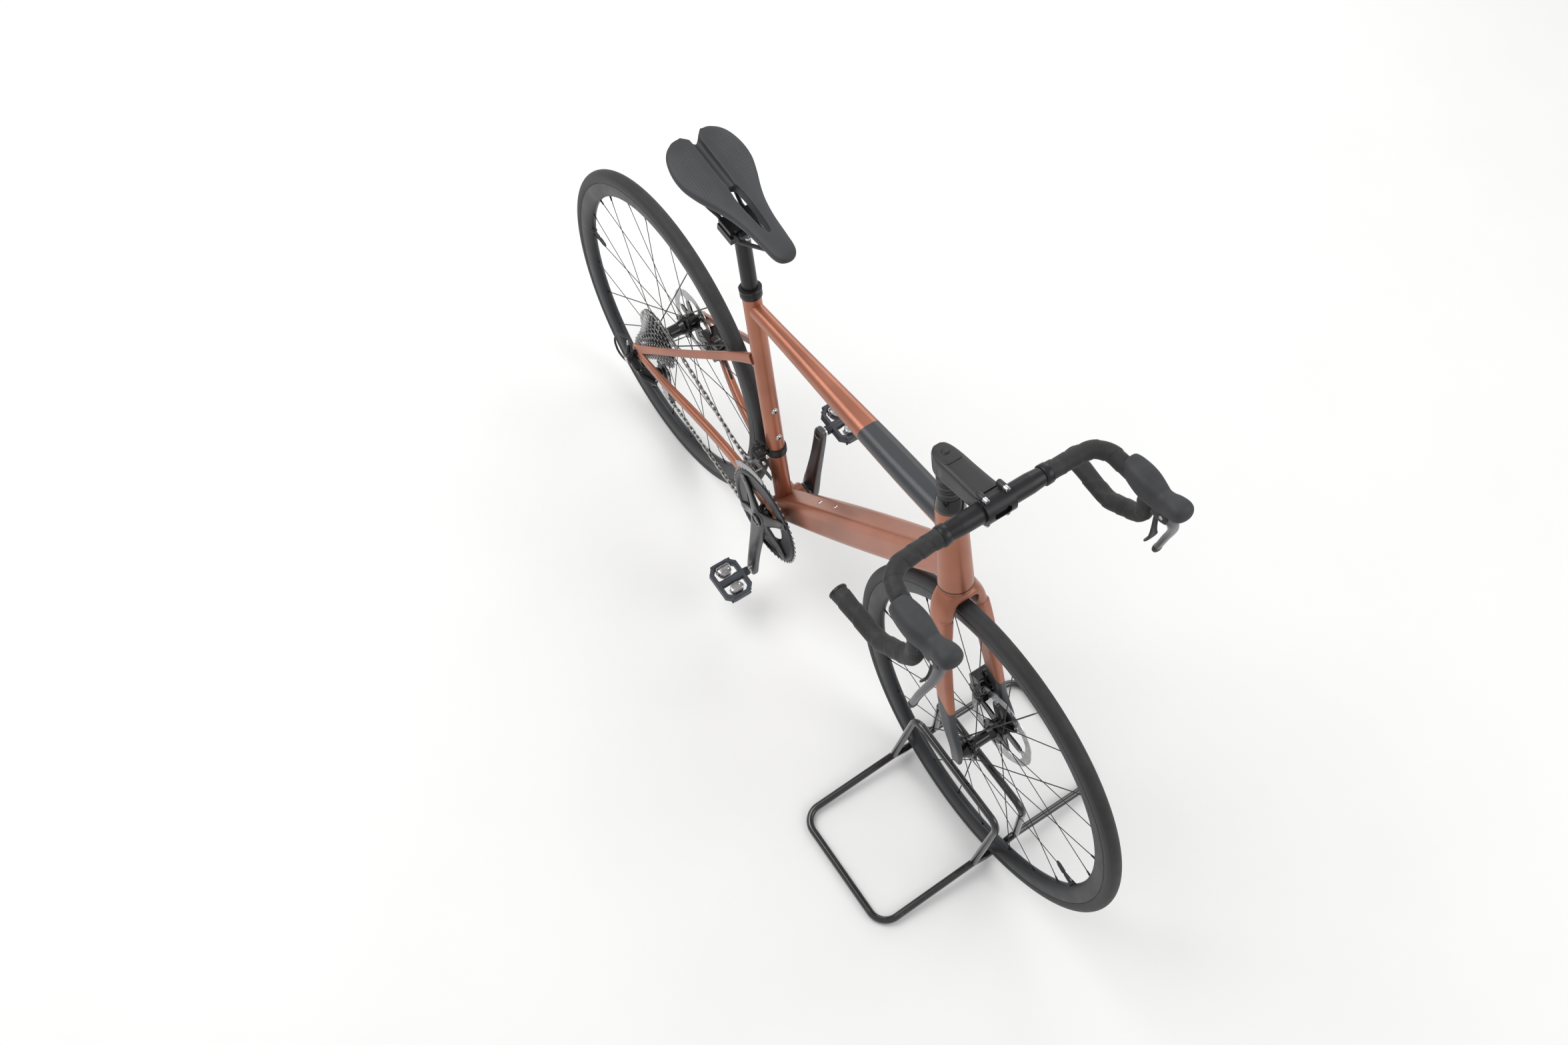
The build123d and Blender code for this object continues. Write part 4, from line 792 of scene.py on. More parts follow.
def build_rotor(name, centre, y, radius, body, node, metal):
    """Pierced brake track with tabs, riveted to a dark six-armed carrier."""
    a = circle(360)
    track_in = radius - 14.5 + 0.9 * np.cos(12 * a) - 10.5 * pulses(a, 6, 0.10, 0.16)
    loops = [ring_loop(radius - 0.6, 360, 0.6, 12), np.stack([track_in * np.cos(a), track_in * np.sin(a)], 1)]
    for k in range(12):
        for along, depth, long, wide in (
            (-9.5, 3.6, 3.0, 1.5), (-3.2, 6.8, 4.6, 1.5), (4.0, 4.2, 3.4, 1.5), (10.0, 9.0, 3.4, 1.4)
        ):
            b = k * math.pi / 6 + math.radians(along)
            c = circle(12)
            hole = np.stack([long / 2 * np.cos(c), wide * np.sin(c)], 1)
            lean = b + math.radians(62)
            turn = np.array([[math.cos(lean), math.sin(lean)], [-math.sin(lean), math.cos(lean)]])
            loops.append(hole @ turn + (radius - depth - 1.6) * np.array([math.cos(b), math.sin(b)]))
    for k in range(6):
        b = k * math.pi / 3
        c = circle(16)
        loops.append(
            np.stack([2.4 * np.cos(c), 2.4 * np.sin(c)], 1) + (radius - 17.6) * np.array([math.cos(b), math.sin(b)])
        )
    shape = Shape()
    add_mesh(shape, flat_plate(loops, 1.8, on_disc(centre, y), 0.2))
    arm = pulses(a, 6, 0.17, 0.30)
    carrier = 23.0 + (radius - 24.5 - 23.0) * arm
    add_mesh(
        shape,
        flat_plate(
            [np.stack([carrier * np.cos(a), carrier * np.sin(a)], 1), ring_loop(17.06, 96)], 3.2,
            on_disc(centre, y), 0.4
        ),
        1
    )
    for k in range(6):
        b = k * math.pi / 3
        at = np.array([centre[0] + (radius - 26.5) * math.cos(b), y, centre[1] + (radius - 26.5) * math.sin(b)])
        rod(shape, at - (0, 2.2, 0), at + (0, 2.2, 0), 2.3, 16, 0.6, 2)
    ring = [(17.1, -2.2), (21.6, -2.2), (22.2, -1.6), (22.2, 1.6), (21.6, 2.4), (19.0, 3.6), (17.1, 3.6)]
    shape.grid(wheel_ring(centre, [(r, y + o) for r, o in ring], 72), wrap_u=True, wrap_v=True, slot=1)
    piece = place(
        name, shape.mesh(name, [metal, finish("gloss_black"), finish("steel")]), body, [node], 30
    )
    return piece


def build_hub_details(name, centre, body, flange_left, flange_drive):
    """Two seal rings on the hub barrel, one outside each flange."""
    shape = Shape()
    for y0, y1, r in ((flange_left + 6.5, flange_left + 8.0, 17.6), (flange_drive - 4.6, flange_drive - 3.2, 15.6)):
        ring = [(9.6, y0), (r, y0), (r + 0.4, (y0 + y1) / 2), (r, y1), (9.6, y1)]
        shape.grid(wheel_ring(centre, ring, 64), wrap_u=True, wrap_v=True)
    place(name, shape.mesh(name, [finish("gloss_black")]), body)


# ---- cockpit ----
def bar_path(side):
    points = [
        (BAR_X, side * 60, BAR_Z), (BAR_X, side * 116, BAR_Z), (BAR_X + 4, side * 190, BAR_Z + 2),
        (BAR_X + 97, side * (HOOD_Y + 3), BAR_Z - 4), (BAR_X + 107, side * (HOOD_Y + 6), BAR_Z - 72),
        (BAR_X + 40, side * (HOOD_Y + 11), BAR_Z - 128), (BAR_X - 54, side * (HOOD_Y + 15), BAR_Z - 128),
    ]
    return bend(points, [60, 38, 32, 44, 44], 1.5)


def build_tape(side, word):
    """Tube round the bar whose radius climbs across each turn of a helix and drops at its overlap."""
    path = bar_path(side)
    path = path[arc_lengths(path) > 26]
    pitch = 25.0
    start = 13.9

    def radius(along, a):
        turn = along / pitch * (1 + 0.05 * np.sin(along / 37.0)) + side * a / (2 * math.pi)
        part = turn % 1
        lap = np.where(part < 0.94, part / 0.94, (1 - part) / 0.06)
        taper = np.clip(1 - along / 22.0, 0, 1) * (start - 12.0)
        swell = 0.16 * np.sin(along / 9.0 + 2 * a) * np.sin(a * 3 + along / 23.0)
        return 13.55 + taper + 1.05 * lap + swell

    count = 40
    tube = sleeve(path, radius, count)
    along = arc_lengths(path) * MM
    uv = np.stack(np.meshgrid(along, np.linspace(0, 2 * math.pi * 14.4, count + 1) * MM, indexing="ij"), 2)
    shape = Shape().grid(tube, wrap_v=True, caps=(True, True), uv=uv)
    place(
        f"tape_{word}", shape.mesh(f"tape_{word}", [finish("tape")]), "front_end",
        ["bar_tape"] if side == DRIVE else (), 50
    )
    band = Shape()
    y0 = 84.0
    ring = [(15.0, 0.0), (15.9, 0.04), (16.5, 0.1), (16.4, 0.9), (15.7, 1.0), (14.6, 1.0)]
    band.grid(
        spin((BAR_X, side * y0, BAR_Z), (BAR_X, side * (y0 + 13), BAR_Z), ring, 48), wrap_v=True, caps=(True, True)
    )
    end, before = path[-1], path[-8]
    d = (end - before) / np.linalg.norm(end - before)
    plug = [(14.2, 0.0), (15.0, 0.12), (15.1, 0.6), (14.2, 0.85), (12.0, 0.97), (7.0, 1.0)]
    band.grid(spin(end - d * 1.5, end + d * 3.6, plug, 40), wrap_v=True, caps=(True, True))
    place(f"tape_trim_{word}", band.mesh(f"tape_trim_{word}", [finish("black")]), "front_end", (), 40)


HOOD_STATIONS = (
    # forward, up, width, height, roundness
    (
        50.0, 1.6, 29.5, 30.5, 2.2
    ), (52.0, 1.8, 32.5, 33.0, 2.3), (62.0, 2.6, 37.0, 36.0, 2.5), (78.0, 3.2, 39.0, 40.0, 2.6),
    (94.0, 2.6, 38.0, 43.0, 2.6), (110.0, 2.6, 34.0, 44.0, 2.5), (124.0, 4.4, 30.5, 41.0, 2.4), (
        136.0, 10.0, 31.5, 37.0, 2.3
    ),
    (
        147.0, 16.5, 36.5, 36.5, 2.3
    ), (157.0, 22.0, 37.5, 33.0, 2.3), (163.5, 25.8, 33.0, 26.5, 2.2), (167.4, 28.0, 21.0, 17.0, 2.1),
    (169.0, 28.8, 6.0, 5.0, 2.0),
)


def build_hood(side, word):
    """Superellipse sections carried from the bar to the horn, size and roundness eased between stations."""
    s = smooth_through(HOOD_STATIONS, 90)
    y = side * (HOOD_Y + 3 - np.clip((s[:, 0] - 60) / 90, 0, 1) * 3)
    path = np.stack([BAR_X + s[:, 0], y, BAR_Z + s[:, 1]], 1)
    sections = [squircle(max(w, 1), max(h, 1), p, 56) for w, h, p in s[:, 2:5]]
    skin = carry(path, sections)
    bulge = np.exp(-(((s[:, 0] - 92) / 26) ** 2))[:, None] * 1.6
    skin[:, :, 1] += np.sign(skin[:, :, 1] - path[:, None, 1]) * bulge
    shape = Shape().grid(skin, wrap_v=True, caps=(True, True))
    place(
        f"hood_skin_{word}", shape.mesh(f"hood_skin_{word}", [finish("hood")]), "front_end",
        [f"hood_{word}"], 70
    )


def build_lever(side, word):
    """Blade swept from the pivot to its tip, and the small shift paddle behind it."""
    x, z, y = BAR_X + 141.0, BAR_Z - 8.0, HOOD_Y
    blade = [
        (x + 3, y, z + 2, 17, 16), (x + 9, y + 3, z - 10, 18, 16), (x + 12, y + 8, z - 24, 17, 14), (
            x + 12, y + 14, z - 42, 15.5, 12.5
        ),
        (x + 9, y + 19, z - 62, 15, 11.5), (x + 5, y + 22, z - 84, 14.5, 11), (
            x + 2, y + 23.5, z - 106, 14, 10.5
        ), (x, y + 24, z - 122, 14, 10.4),
    ]
    s = smooth_through(blade, 48)
    path = s[:, :3] * (1, side, 1)
    sections = [squircle(w, d, 2.8, 28) for w, d in s[:, 3:5]]
    shape = Shape().grid(carry(path, sections, (1, 0, 0)), wrap_v=True, caps=(True, True))
    tip = [
        (x, y + 24, z - 121, 15.2, 11.6), (x - 0.6, y + 24.2, z - 128, 15.6, 12),
        (x - 1.4, y + 24.4, z - 134, 12.6, 9.6), (x - 1.8, y + 24.4, z - 136.6, 5, 4)
    ]
    s = smooth_through(tip, 14)
    sections = [squircle(w, d, 2.3, 24) for w, d in s[:, 3:5]]
    shape.grid(carry(s[:, :3] * (1, side, 1), sections, (1, 0, 0)), wrap_v=True, caps=(True, True), slot=1)
    rod(shape, (x, side * (y - 8.4), z), (x, side * (y + 8.4), z), 7.6, 28, 1.2, 1)
    place(
        f"lever_blade_{word}", shape.mesh(f"lever_blade_{word}", [finish("lever"), finish("plastic")]),
        f"lever_{word}", [f"brake_lever_{word}"], 40
    )
    paddle = [
        (x - 14, y - 3, z - 6, 9, 5), (
            x - 13, y - 3, z - 20, 9, 5
        ), (x - 9, y - 3, z - 40, 10, 5), (x - 6, y - 2, z - 58, 13, 5),
        (x - 5, y, z - 72, 19, 5), (x - 8, y + 2, z - 84, 22, 4.6), (
            x - 11, y + 3, z - 91, 16, 3.6
        ), (x - 12, y + 3.4, z - 93, 8, 2),
    ]
    s = smooth_through(paddle, 36)
    sections = [squircle(w, d, 3.0, 24) for w, d in s[:, 3:5]]
    flat = Shape().grid(carry(s[:, :3] * (1, side, 1), sections, (1, 0, 0)), wrap_v=True, caps=(True, True))
    place(
        f"paddle_{word}", flat.mesh(f"paddle_{word}", [finish("plastic")]), f"paddle_{word}",
        [f"shift_paddle_{word}"], 40
    )


def build_lever_bracket(side, word):
    """Pivot ears, return spring and adjuster under each hood."""
    x, z = BAR_X + 141.0, BAR_Z - 8.0
    shape = Shape()
    for out in (-1, 1):
        s = np.array([(x - 20, 9, 22), (x - 12, 9, 24), (x, 8, 22), (x + 8, 5, 14), (x + 11, 2, 8)])
        path = np.stack([s[:, 0], np.full(5, side * HOOD_Y + out * 11.0), np.full(5, z - 2)], 1)
        sections = [squircle(2.6, h, 3.0, 20) for h in s[:, 2]]
        shape.grid(carry(path, sections), wrap_v=True, caps=(True, True))
        rod(shape, (x, side * HOOD_Y + out * 10.5, z), (x, side * HOOD_Y + out * 14.2, z), 3.6, 20, 0.6, 1)
    for forward, up, r in ((-31.0, 3.0, 2.4), (-25.0, -3.5, 1.7)):
        at = np.array([x + forward, side * (HOOD_Y + 15.2), z + up])
        rod(shape, at, at + (0, side * 2.6, 0), r, 16, 0.5, 1 if up > 0 else 0)
    place(
        f"lever_bracket_{word}", shape.mesh(f"lever_bracket_{word}", [finish("plastic"), finish("steel")]),
        "front_end", (), 40
    )


def build_stem_details():
    """Inset side panels on both flanks of the stem."""
    root, bar = steer(604 + 20), np.array([BAR_X, 0, BAR_Z])
    reach = bar - root
    along = reach / np.linalg.norm(reach)
    up = np.array([-along[2], 0, along[0]])
    shape = Shape()
    for side in (DRIVE, LEFT):
        t = np.linspace(0.05, 0.74, 24)
        half = 10.5 - 5.5 * np.clip((t - 0.55) / 0.19, 0, 1) ** 1.5 - 4.0 * np.clip((0.12 - t) / 0.07, 0, 1) ** 2
        centre = root + reach * t[:, None]
        width = np.interp(t, (0, 0.5, 0.88), (20, 20, 22)) + 0.15
        a = circle(32)
        ring = np.stack([0.55 * np.cos(a), np.sin(a)], 1)
        rows = []
        for c, h, w in zip(centre, half, width):
            rows.append(
                c + np.outer(ring[:, 1] * h, up) + np.outer(
                    side * (w - 0.35 + 0.75 * np.abs(np.cos(a)) ** 0.4), (0, 1, 0)
                )
            )
        shape.grid(np.array(rows), wrap_v=True, caps=(True, True), slot=0)
    place(
        "stem_side_panels", shape.mesh("stem_side_panels", [finish("stem_side")]), "front_end", (),
        30
    )


def loft_box(shape, points, sizes, power=5.0, hint=(0, 0, 1), slot=0, count=32, samples=24, caps=(True, True)):
    """Rounded-box sections eased along a smooth line through the points."""
    s = smooth_through([(*p, *q) for p, q in zip(points, sizes)], samples)
    sections = [squircle(max(w, 0.5), max(h, 0.5), power, count) for w, h in s[:, 3:5]]
    return shape.grid(carry(s[:, :3], sections, hint), wrap_v=True, caps=caps, slot=slot)


def build_stem():
    """Angular body from a teardrop head to the bar clamp, with its cap, bolts and headset stack."""
    root, bar = steer(604 + 20), np.array([BAR_X, 0.0, BAR_Z])
    reach = bar - root
    d = reach / np.linalg.norm(reach)
    up = np.array([-d[2], 0.0, d[0]])
    shape = Shape()
    tail = -27.0
    stations = [
        (tail, 9, 30), (tail + 3, 17, 37), (-18, 29, 40.5), (-6, 38, 41), (12, 41, 41), (40, 41.5, 39),
        (66, 43, 36.5), (reach @ d - 14, 45, 35)
    ]
    pts = [root + d * a for a, _, _ in stations]
    loft_box(shape, pts, [(w, h) for _, w, h in stations], 6.5, samples=48, count=56)
    lid = Shape()
    top = [(tail + 4, 12, 1.2), (-18, 24, 1.6), (-6, 31, 1.8), (8, 33, 1.8), (17, 30, 1.6), (20.5, 22, 1.2)]
    loft_box(lid, [root + d * a + up * 20.6 for a, _, _ in top], [(w, h) for _, w, h in top], 5, samples=30)
    hub = root + up * 21.0 - d * 3
    lid.grid(
        spin(hub, hub + up * 1.8, [(6.4, 0), (6.4, 0.5), (5.6, 0.9), (5.0, 1.0)], 32), wrap_v=True,
        caps=(True, True), slot=1
    )
    lid.grid(
        spin(hub + up * 1.2, hub + up * 2.0, [(4.2, 0), (4.2, 0.7), (3.4, 1.0)], 24), wrap_v=True,
        caps=(True, True), slot=2
    )
    place("stem_body", shape.mesh("stem_body", [finish("stem")]), "front_end", ["stem"], 28)
    place(
        "stem_cap", lid.mesh("stem_cap", [finish("stem"), finish("black"), finish("plastic")]), "front_end",
        (), 28
    )
    clamp = Shape()
    a = np.linspace(-math.radians(196), math.radians(16), 60)
    for y0, y1, r in ((-24.5, 24.5, 20.6),):
        tube = []
        for y, rr in ((y0, 16.1), (y0, r - 1.2), (y0 + 1.2, r), (y1 - 1.2, r), (y1, r - 1.2), (y1, 16.1)):
            ring = bar + rr * (np.cos(a)[:, None] * -up + np.sin(a)[:, None] * -d * -1.0)
            tube.append(np.stack([ring[:, 0], np.full(len(a), y), ring[:, 2]], 1))
        clamp.grid(np.array(tube).transpose(1, 0, 2), wrap_v=True, caps=(True, True))
    place("stem_clamp", clamp.mesh("stem_clamp", [finish("stem")]), "front_end", (), 30)
    bolts = Shape()
    for y in (-18.0, 18.0):
        for v in (-1, 1):
            c = bar + up * v * 23.3 + np.array([0, y, 0])
            bolts.grid(
                spin(c + d * 1.0, c + d * 8.6, [(4.6, 0), (4.6, 0.75), (4.1, 1.0), (2.6, 1.0), (2.5, 0.55)], 24),
                wrap_v=True, caps=(True, True)
            )
            bolts.grid(
                spin(c - d * 13.0, c + d * 1.4, [(4.9, 0), (5.4, 0.1), (5.4, 0.9), (4.9, 1.0)], 24), wrap_v=True,
                caps=(True, True), slot=1
            )
    place(
        "stem_bolt_heads", bolts.mesh("stem_bolt_heads", [finish("chrome"), finish("stem")]), "front_end",
        ["stem_bolts"], 30
    )
    rings = Shape()
    s0 = 538 + 24.4
    for k in range(3):
        a0 = s0 + k * 13.9
        prof = [
            (15.2, 0.0), (17.6, 0.0), (18.3, 0.06), (18.3, 0.42), (17.7, 0.5), (18.3, 0.58), (18.3, 0.94),
            (17.6, 1.0), (15.2, 1.0)
        ]
        rings.grid(spin(steer(a0), steer(a0 + 13.7), prof, 48), wrap_v=True, caps=(True, True))
    cone = [(23.6, 0.0), (24.0, 0.05), (23.4, 0.22), (21.0, 0.62), (19.4, 0.92), (18.6, 1.0), (15.0, 1.0)]
    rings.grid(spin(steer(538.4), steer(538 + 24.2), cone, 56), wrap_v=True, caps=(True, True), slot=1)
    place(
        "headset_stack", rings.mesh("headset_stack", [finish("stem"), finish("gloss_black")]), "front_end",
        ["headset"], 30
    )


# ---- saddle and seatpost ----
def build_saddle():
    """Loft of crowned sections, notched, grooved and slotted by solids taken away, then remeshed smooth."""
    tail, length, top = -420.0, 284.0, 962.0
    stations = [
        # share of length, half width, crown, underside drop, rise
        (
            0.000, 36, 6, 16, 6.0
        ), (0.035, 50, 8, 20, 6.6), (0.09, 60, 10, 24, 6.0), (0.18, 66, 12, 28, 4.4), (0.28, 65, 13, 31, 2.4),
        (0.38, 56, 13, 32, 0.8), (0.48, 44, 12, 30, 0.0), (
            0.58, 34, 10, 28, -0.4
        ), (0.70, 27, 9, 25, -0.6), (0.84, 23, 8, 23, -1.0),
        (0.93, 20.5, 8, 21, -2.2), (0.975, 15, 7, 16, -4.2), (1.0, 5, 3, 6, -8.0),
    ]
    s = smooth_through(stations, 120)
    a = circle(64)
    rows = []
    for t, w, crown, drop, rise in s:
        c, n = np.cos(a), np.sin(a)
        k = (np.abs(c) ** 2.6 + np.abs(n) ** 2.6) ** (-1 / 2.6)
        y = w * k * c
        z = np.where(n > 0, k * n * crown, k * n * (drop - crown))
        rows.append(np.stack([np.full_like(a, tail + t * length), y, top + rise - crown + z], 1))
    body = Shape().grid(np.array(rows), wrap_v=True, caps=(True, True))
    cut = Shape()
    plan = [(44, 0.2), (48, 6.4), (60, 8.2), (90, 9.0), (124, 7.0), (146, 4.2), (154, 0.2)]
    p = smooth_through(plan, 24)
    slot = np.concatenate([p, p[::-1][1:-1] * (1, -1)])
    mid = tail + 74.0
    low = np.stack([mid + slot[:, 0], slot[:, 1], np.full(len(slot), top - 60)], 1)
    cut.grid(np.array([low, low + (0, 0, 90)]), wrap_v=True, caps=(True, True))
    hollow = Shape()
    h = [
        (tail + 6, 30, 8), (tail + 40, 50, 14), (tail + 90, 44, 17), (tail + 150, 26, 14), (tail + 230, 15, 10),
        (tail + 262, 10, 6)
    ]
    loft_box(hollow, [(x, 0, top - 33 - 3) for x, _, _ in h], [(2 * w, 2 * q) for _, w, q in h], 2.6, samples=40)
    groove = Shape()
    g = [(tail - 4, 9, 5), (tail + 14, 8.5, 7), (tail + 50, 8, 8), (tail + 100, 8, 8), (tail + 122, 7, 6)]
    loft_box(
        groove, [(x, 0, top + 4.6 - 0.035 * (x - tail)) for x, _, _ in g], [(2 * w * 0.9, 2 * q) for _, w, q in g],
        2.2, samples=30
    )
    notch = Shape()
    outline = np.array([(-14, 32), (-2, 20), (10, 9), (18, 0), (10, -9), (-2, -20), (-14, -32)], float)
    low = np.stack([tail + outline[:, 0], outline[:, 1], np.full(7, top - 50)], 1)
    notch.grid(np.array([low, low + (0, 0, 90)]), wrap_v=True, caps=(True, True))
    piece = bpy.data.objects.new("saddle_pad", body.mesh("saddle_pad", [finish("saddle")]))
    bpy.context.scene.collection.objects.link(piece)
    tools = []
    for name, tool in (("slot", cut), ("hollow", hollow), ("groove", groove), ("notch", notch)):
        cutter = bpy.data.objects.new(name, tool.mesh(name, []))
        bpy.context.scene.collection.objects.link(cutter)
        tools.append(cutter)
    solve(piece, tools, finish("saddle"))
    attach(piece, "post")
    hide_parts("saddle")


def recalc(mesh):
    """Points every face of a closed mesh outwards."""
    bm = bmesh.new()
    bm.from_mesh(mesh)
    bmesh.ops.remove_doubles(bm, verts=bm.verts, dist=1e-6)
    bmesh.ops.recalc_face_normals(bm, faces=bm.faces)
    bm.to_mesh(mesh)
    bm.free()


def solve(piece, tools, material, voxel=0.0014, rounds=14):
    """Takes the tools away, joins the skin at one voxel size and relaxes it, then keeps the result as a plain mesh."""
    recalc(piece.data)
    joined = piece.modifiers.new("joined", "REMESH")
    joined.mode, joined.voxel_size = "VOXEL", voxel
    for tool in tools:
        recalc(tool.data)
        cut = piece.modifiers.new(tool.name, "BOOLEAN")
        cut.operation, cut.solver, cut.object = "DIFFERENCE", "EXACT", tool
    skin = piece.modifiers.new("skin", "REMESH")
    skin.mode, skin.voxel_size = "VOXEL", voxel
    relax = piece.modifiers.new("relax", "SMOOTH")
    relax.factor, relax.iterations = 0.5, rounds
    depsgraph = bpy.context.evaluated_depsgraph_get()
    depsgraph.update()
    made = bpy.data.meshes.new_from_object(piece.evaluated_get(depsgraph), depsgraph=depsgraph)
    piece.modifiers.clear()
    old, piece.data = piece.data, made
    bpy.data.meshes.remove(old)
    piece.data.materials.clear()
    piece.data.materials.append(material)
    piece.data.polygons.foreach_set("use_smooth", [True] * len(piece.data.polygons))
    for tool in tools:
        bpy.data.objects.remove(tool)


def build_seat_clamp():
    """Two-bolt cradle on the post's head, and the seat collar with its bolt."""
    shape = Shape()
    top = seat(652)
    base = top + np.array([0, 0, 2.0])
    loft_box(
        shape, [base + (-26, 0, 0), base + (-14, 0, 1), base + (14, 0, 1), base + (26, 0, 0)],
        [(26, 7), (34, 10), (34, 10), (26, 7)], 4
    )
    for dx in (-22, 22):
        c = base + np.array([dx, 0, 0])
        rod(shape, c + (0, 0, -10), c + (0, 0, 18), 2.6, 16, 0.5, 1)
        rod(shape, c + (0, 0, -14), c + (0, 0, -9), 4.4, 18, 0.8, 1)
    rings = Shape()
    rings.grid(
        spin(seat(640), seat(642), [(13.6, 0), (13.85, 0.3), (13.85, 0.7), (13.6, 1)], 40), wrap_v=True,
        caps=(True, True)
    )
    place(
        "seat_clamp_details", shape.mesh("seat_clamp_details", [finish("black"), finish("steel")]), "post",
        (), 30
    )
    collar = Shape()
    base = seat(509)
    axis = seat(1) - seat(0)
    prof = [
        (17.2, -0.02), (18.6, 0.0), (19.2, 0.08), (19.2, 0.6), (18.4, 0.7), (18.4, 0.78), (19.6, 0.84),
        (19.8, 0.95), (19.0, 1.02), (14.0, 1.04)
    ]
    collar.grid(spin(base, base + axis * 18, prof, 56), wrap_v=True, caps=(False, False))
    rear = base + axis * 8 - (seat(0, 1) - seat(0)) * 20
    rod(collar, rear + (0, -9, 0), rear + (0, 9, 0), 4.2, 20, 0.8)
    rod(collar, rear + (0, -11, 0), rear + (0, -8.8, 0), 3.2, 18, 0.5, 1)
    place(
        "seat_collar_ring", collar.mesh("seat_collar_ring", [finish("black"), finish("steel")]), "frame",
        (), 30
    )


# ---- drivetrain ----
def crank_end(side):
    a = math.radians(3.0)
    k = 172.5 * (1 if side == DRIVE else -1)
    return np.array([CRANK[0] + k * math.sin(a), 0.0, CRANK[1] - k * math.cos(a)])


def build_crank_arm(side, word, node):
    """Hollow-forged arm: broad at the axle, slimmer to a rounded pedal eye."""
    end, hub = crank_end(side), np.array([CRANK[0], 0.0, CRANK[1]])
    d = end - hub
    share = [
        (-0.10, 57.0, 11, 26), (-0.07, 57.5, 14, 34), (0.02, 58.5, 16, 39), (0.14, 60.5, 17, 38),
        (0.34, 64.0, 16, 32), (0.58, 68.5, 15, 28), (0.82, 72.0, 14, 27), (0.98, 73.4, 13.4, 27),
        (1.05, 73.6, 13, 23), (1.085, 73.6, 11, 14)
    ]
    pts = [hub + d * t + np.array([0, side * y, 0]) for t, y, _, _ in share]
    shape = Shape()
    s = smooth_through([(*p, w, h) for p, (_, _, w, h) in zip(pts, share)], 60)
    sections = []
    for w, h in s[:, 3:5]:
        q = squircle(w, h, 4.2, 40)
        sections.append(q)
    shape.grid(carry(s[:, :3], [q[:, ::1] for q in sections], (1, 0, 0)), wrap_v=True, caps=(True, True), slot=0)
    eye = end + np.array([0, side * 73.4, 0])
    out = np.array([0, side * 1.0, 0])
    rod(shape, eye - out * 6.9, eye + out * 7.2, 10.6, 36, 1.0, 0)
    rod(shape, eye - out * 8.2, eye - out * 6.6, 6.6, 24, 0.4, 1)
    cap = hub + np.array([0, side * 65.0, 0])
    shape.grid(
        spin(
            cap, cap + out * 3.6, [(14.5, 0), (14.5, 0.5), (13.4, 0.95), (10.5, 1.0), (10.0, 0.6), (3.0, 0.55)], 48
        ),
        wrap_v=True, caps=(True, True), slot=1
    )
    return shape


def build_cranks():
    """Both arms, the four-armed spider with its sculpted webs, ring bolts and the axle caps."""
    left = build_crank_arm(LEFT, "left", "crank_left")
    hub = np.array([CRANK[0], 0, CRANK[1]])
    rod(left, hub + (0, 42.6, 0), hub + (0, 56, 0), 19.0, 44, 1.0, 1)
    place(
        "crank_arm_left", left.mesh("crank_arm_left", [finish("crank"), finish("gloss_black")]), "crankset",
        ["crank_left"], 30
    )
    drive = build_crank_arm(DRIVE, "drive", "crank_drive")
    rod(drive, hub + (0, -43.2, 0), hub + (0, -60, 0), 21.0, 44, 1.0, 1)
    angles = [math.radians(v - 90 + 3) for v in (-52, 52, -128, 128)]
    for b in angles:
        u = np.array([math.cos(b), 0, math.sin(b)])
        pts = [
            hub + u * r + (0, -y, 0) for r,
            y in ((10, 58), (24, 56.5), (42, 53.5), (58, 51.2), (72, 50.4), (86, 50.2), (91, 50.2))
        ]
        loft_box(
            drive, pts, [(9, 36), (9, 30), (8, 22), (7, 19), (6, 19), (5, 17), (4, 9)], 4.0, hint=(-u[2], 0, u[0]),
            slot=1 if math.sin(b) > 0.2 else 0, samples=26
        )
    place(
        "crank_arm_drive", drive.mesh("crank_arm_drive", [finish("crank"), finish("gloss_black")]), "crankset",
        ["crank_drive"], 30
    )
    bolts = Shape()
    for b in angles:
        u = np.array([math.cos(b), 0, math.sin(b)])
        c = hub + u * 78
        rod(bolts, c + (0, -53.6, 0), c + (0, -51.4, 0), 4.6, 20, 0.6)
        rod(bolts, c + (0, -39.0, 0), c + (0, -46.2, 0), 4.4, 20, 0.6)
    place("ring_bolts", bolts.mesh("ring_bolts", [finish("gloss_black")]), "crankset", (), 30)
    rim = Shape()
    edge = [(97.2, -46.2), (97.2, -48.2), (94.5, -50.2), (90.0, -50.6), (86.0, -49.2), (84.5, -47.9), (84.5, -46.2)]
    rim.grid(wheel_ring(CRANK, edge, 200), wrap_u=True, wrap_v=True)
    place("ring_rim", rim.mesh("ring_rim", [finish("ring")]), "crankset", (), 30)


def link_centres():
    """Middle of every link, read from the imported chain: each plate is one run of joined points."""
    mesh = NODES["chain"].data
    co = np.zeros(len(mesh.vertices) * 3)
    mesh.vertices.foreach_get("co", co)
    co = co.reshape(-1, 3) / MM
    edges = np.zeros(len(mesh.edges) * 2, int)
    mesh.edges.foreach_get("vertices", edges)
    label = np.arange(len(co))
    edges = edges.reshape(-1, 2)
    for _ in range(60):
        low = np.minimum(label[edges[:, 0]], label[edges[:, 1]])
        before = label.copy()
        np.minimum.at(label, edges[:, 0], low)
        np.minimum.at(label, edges[:, 1], low)
        label = label[label]
        if (before == label).all():
            break
    return co, label


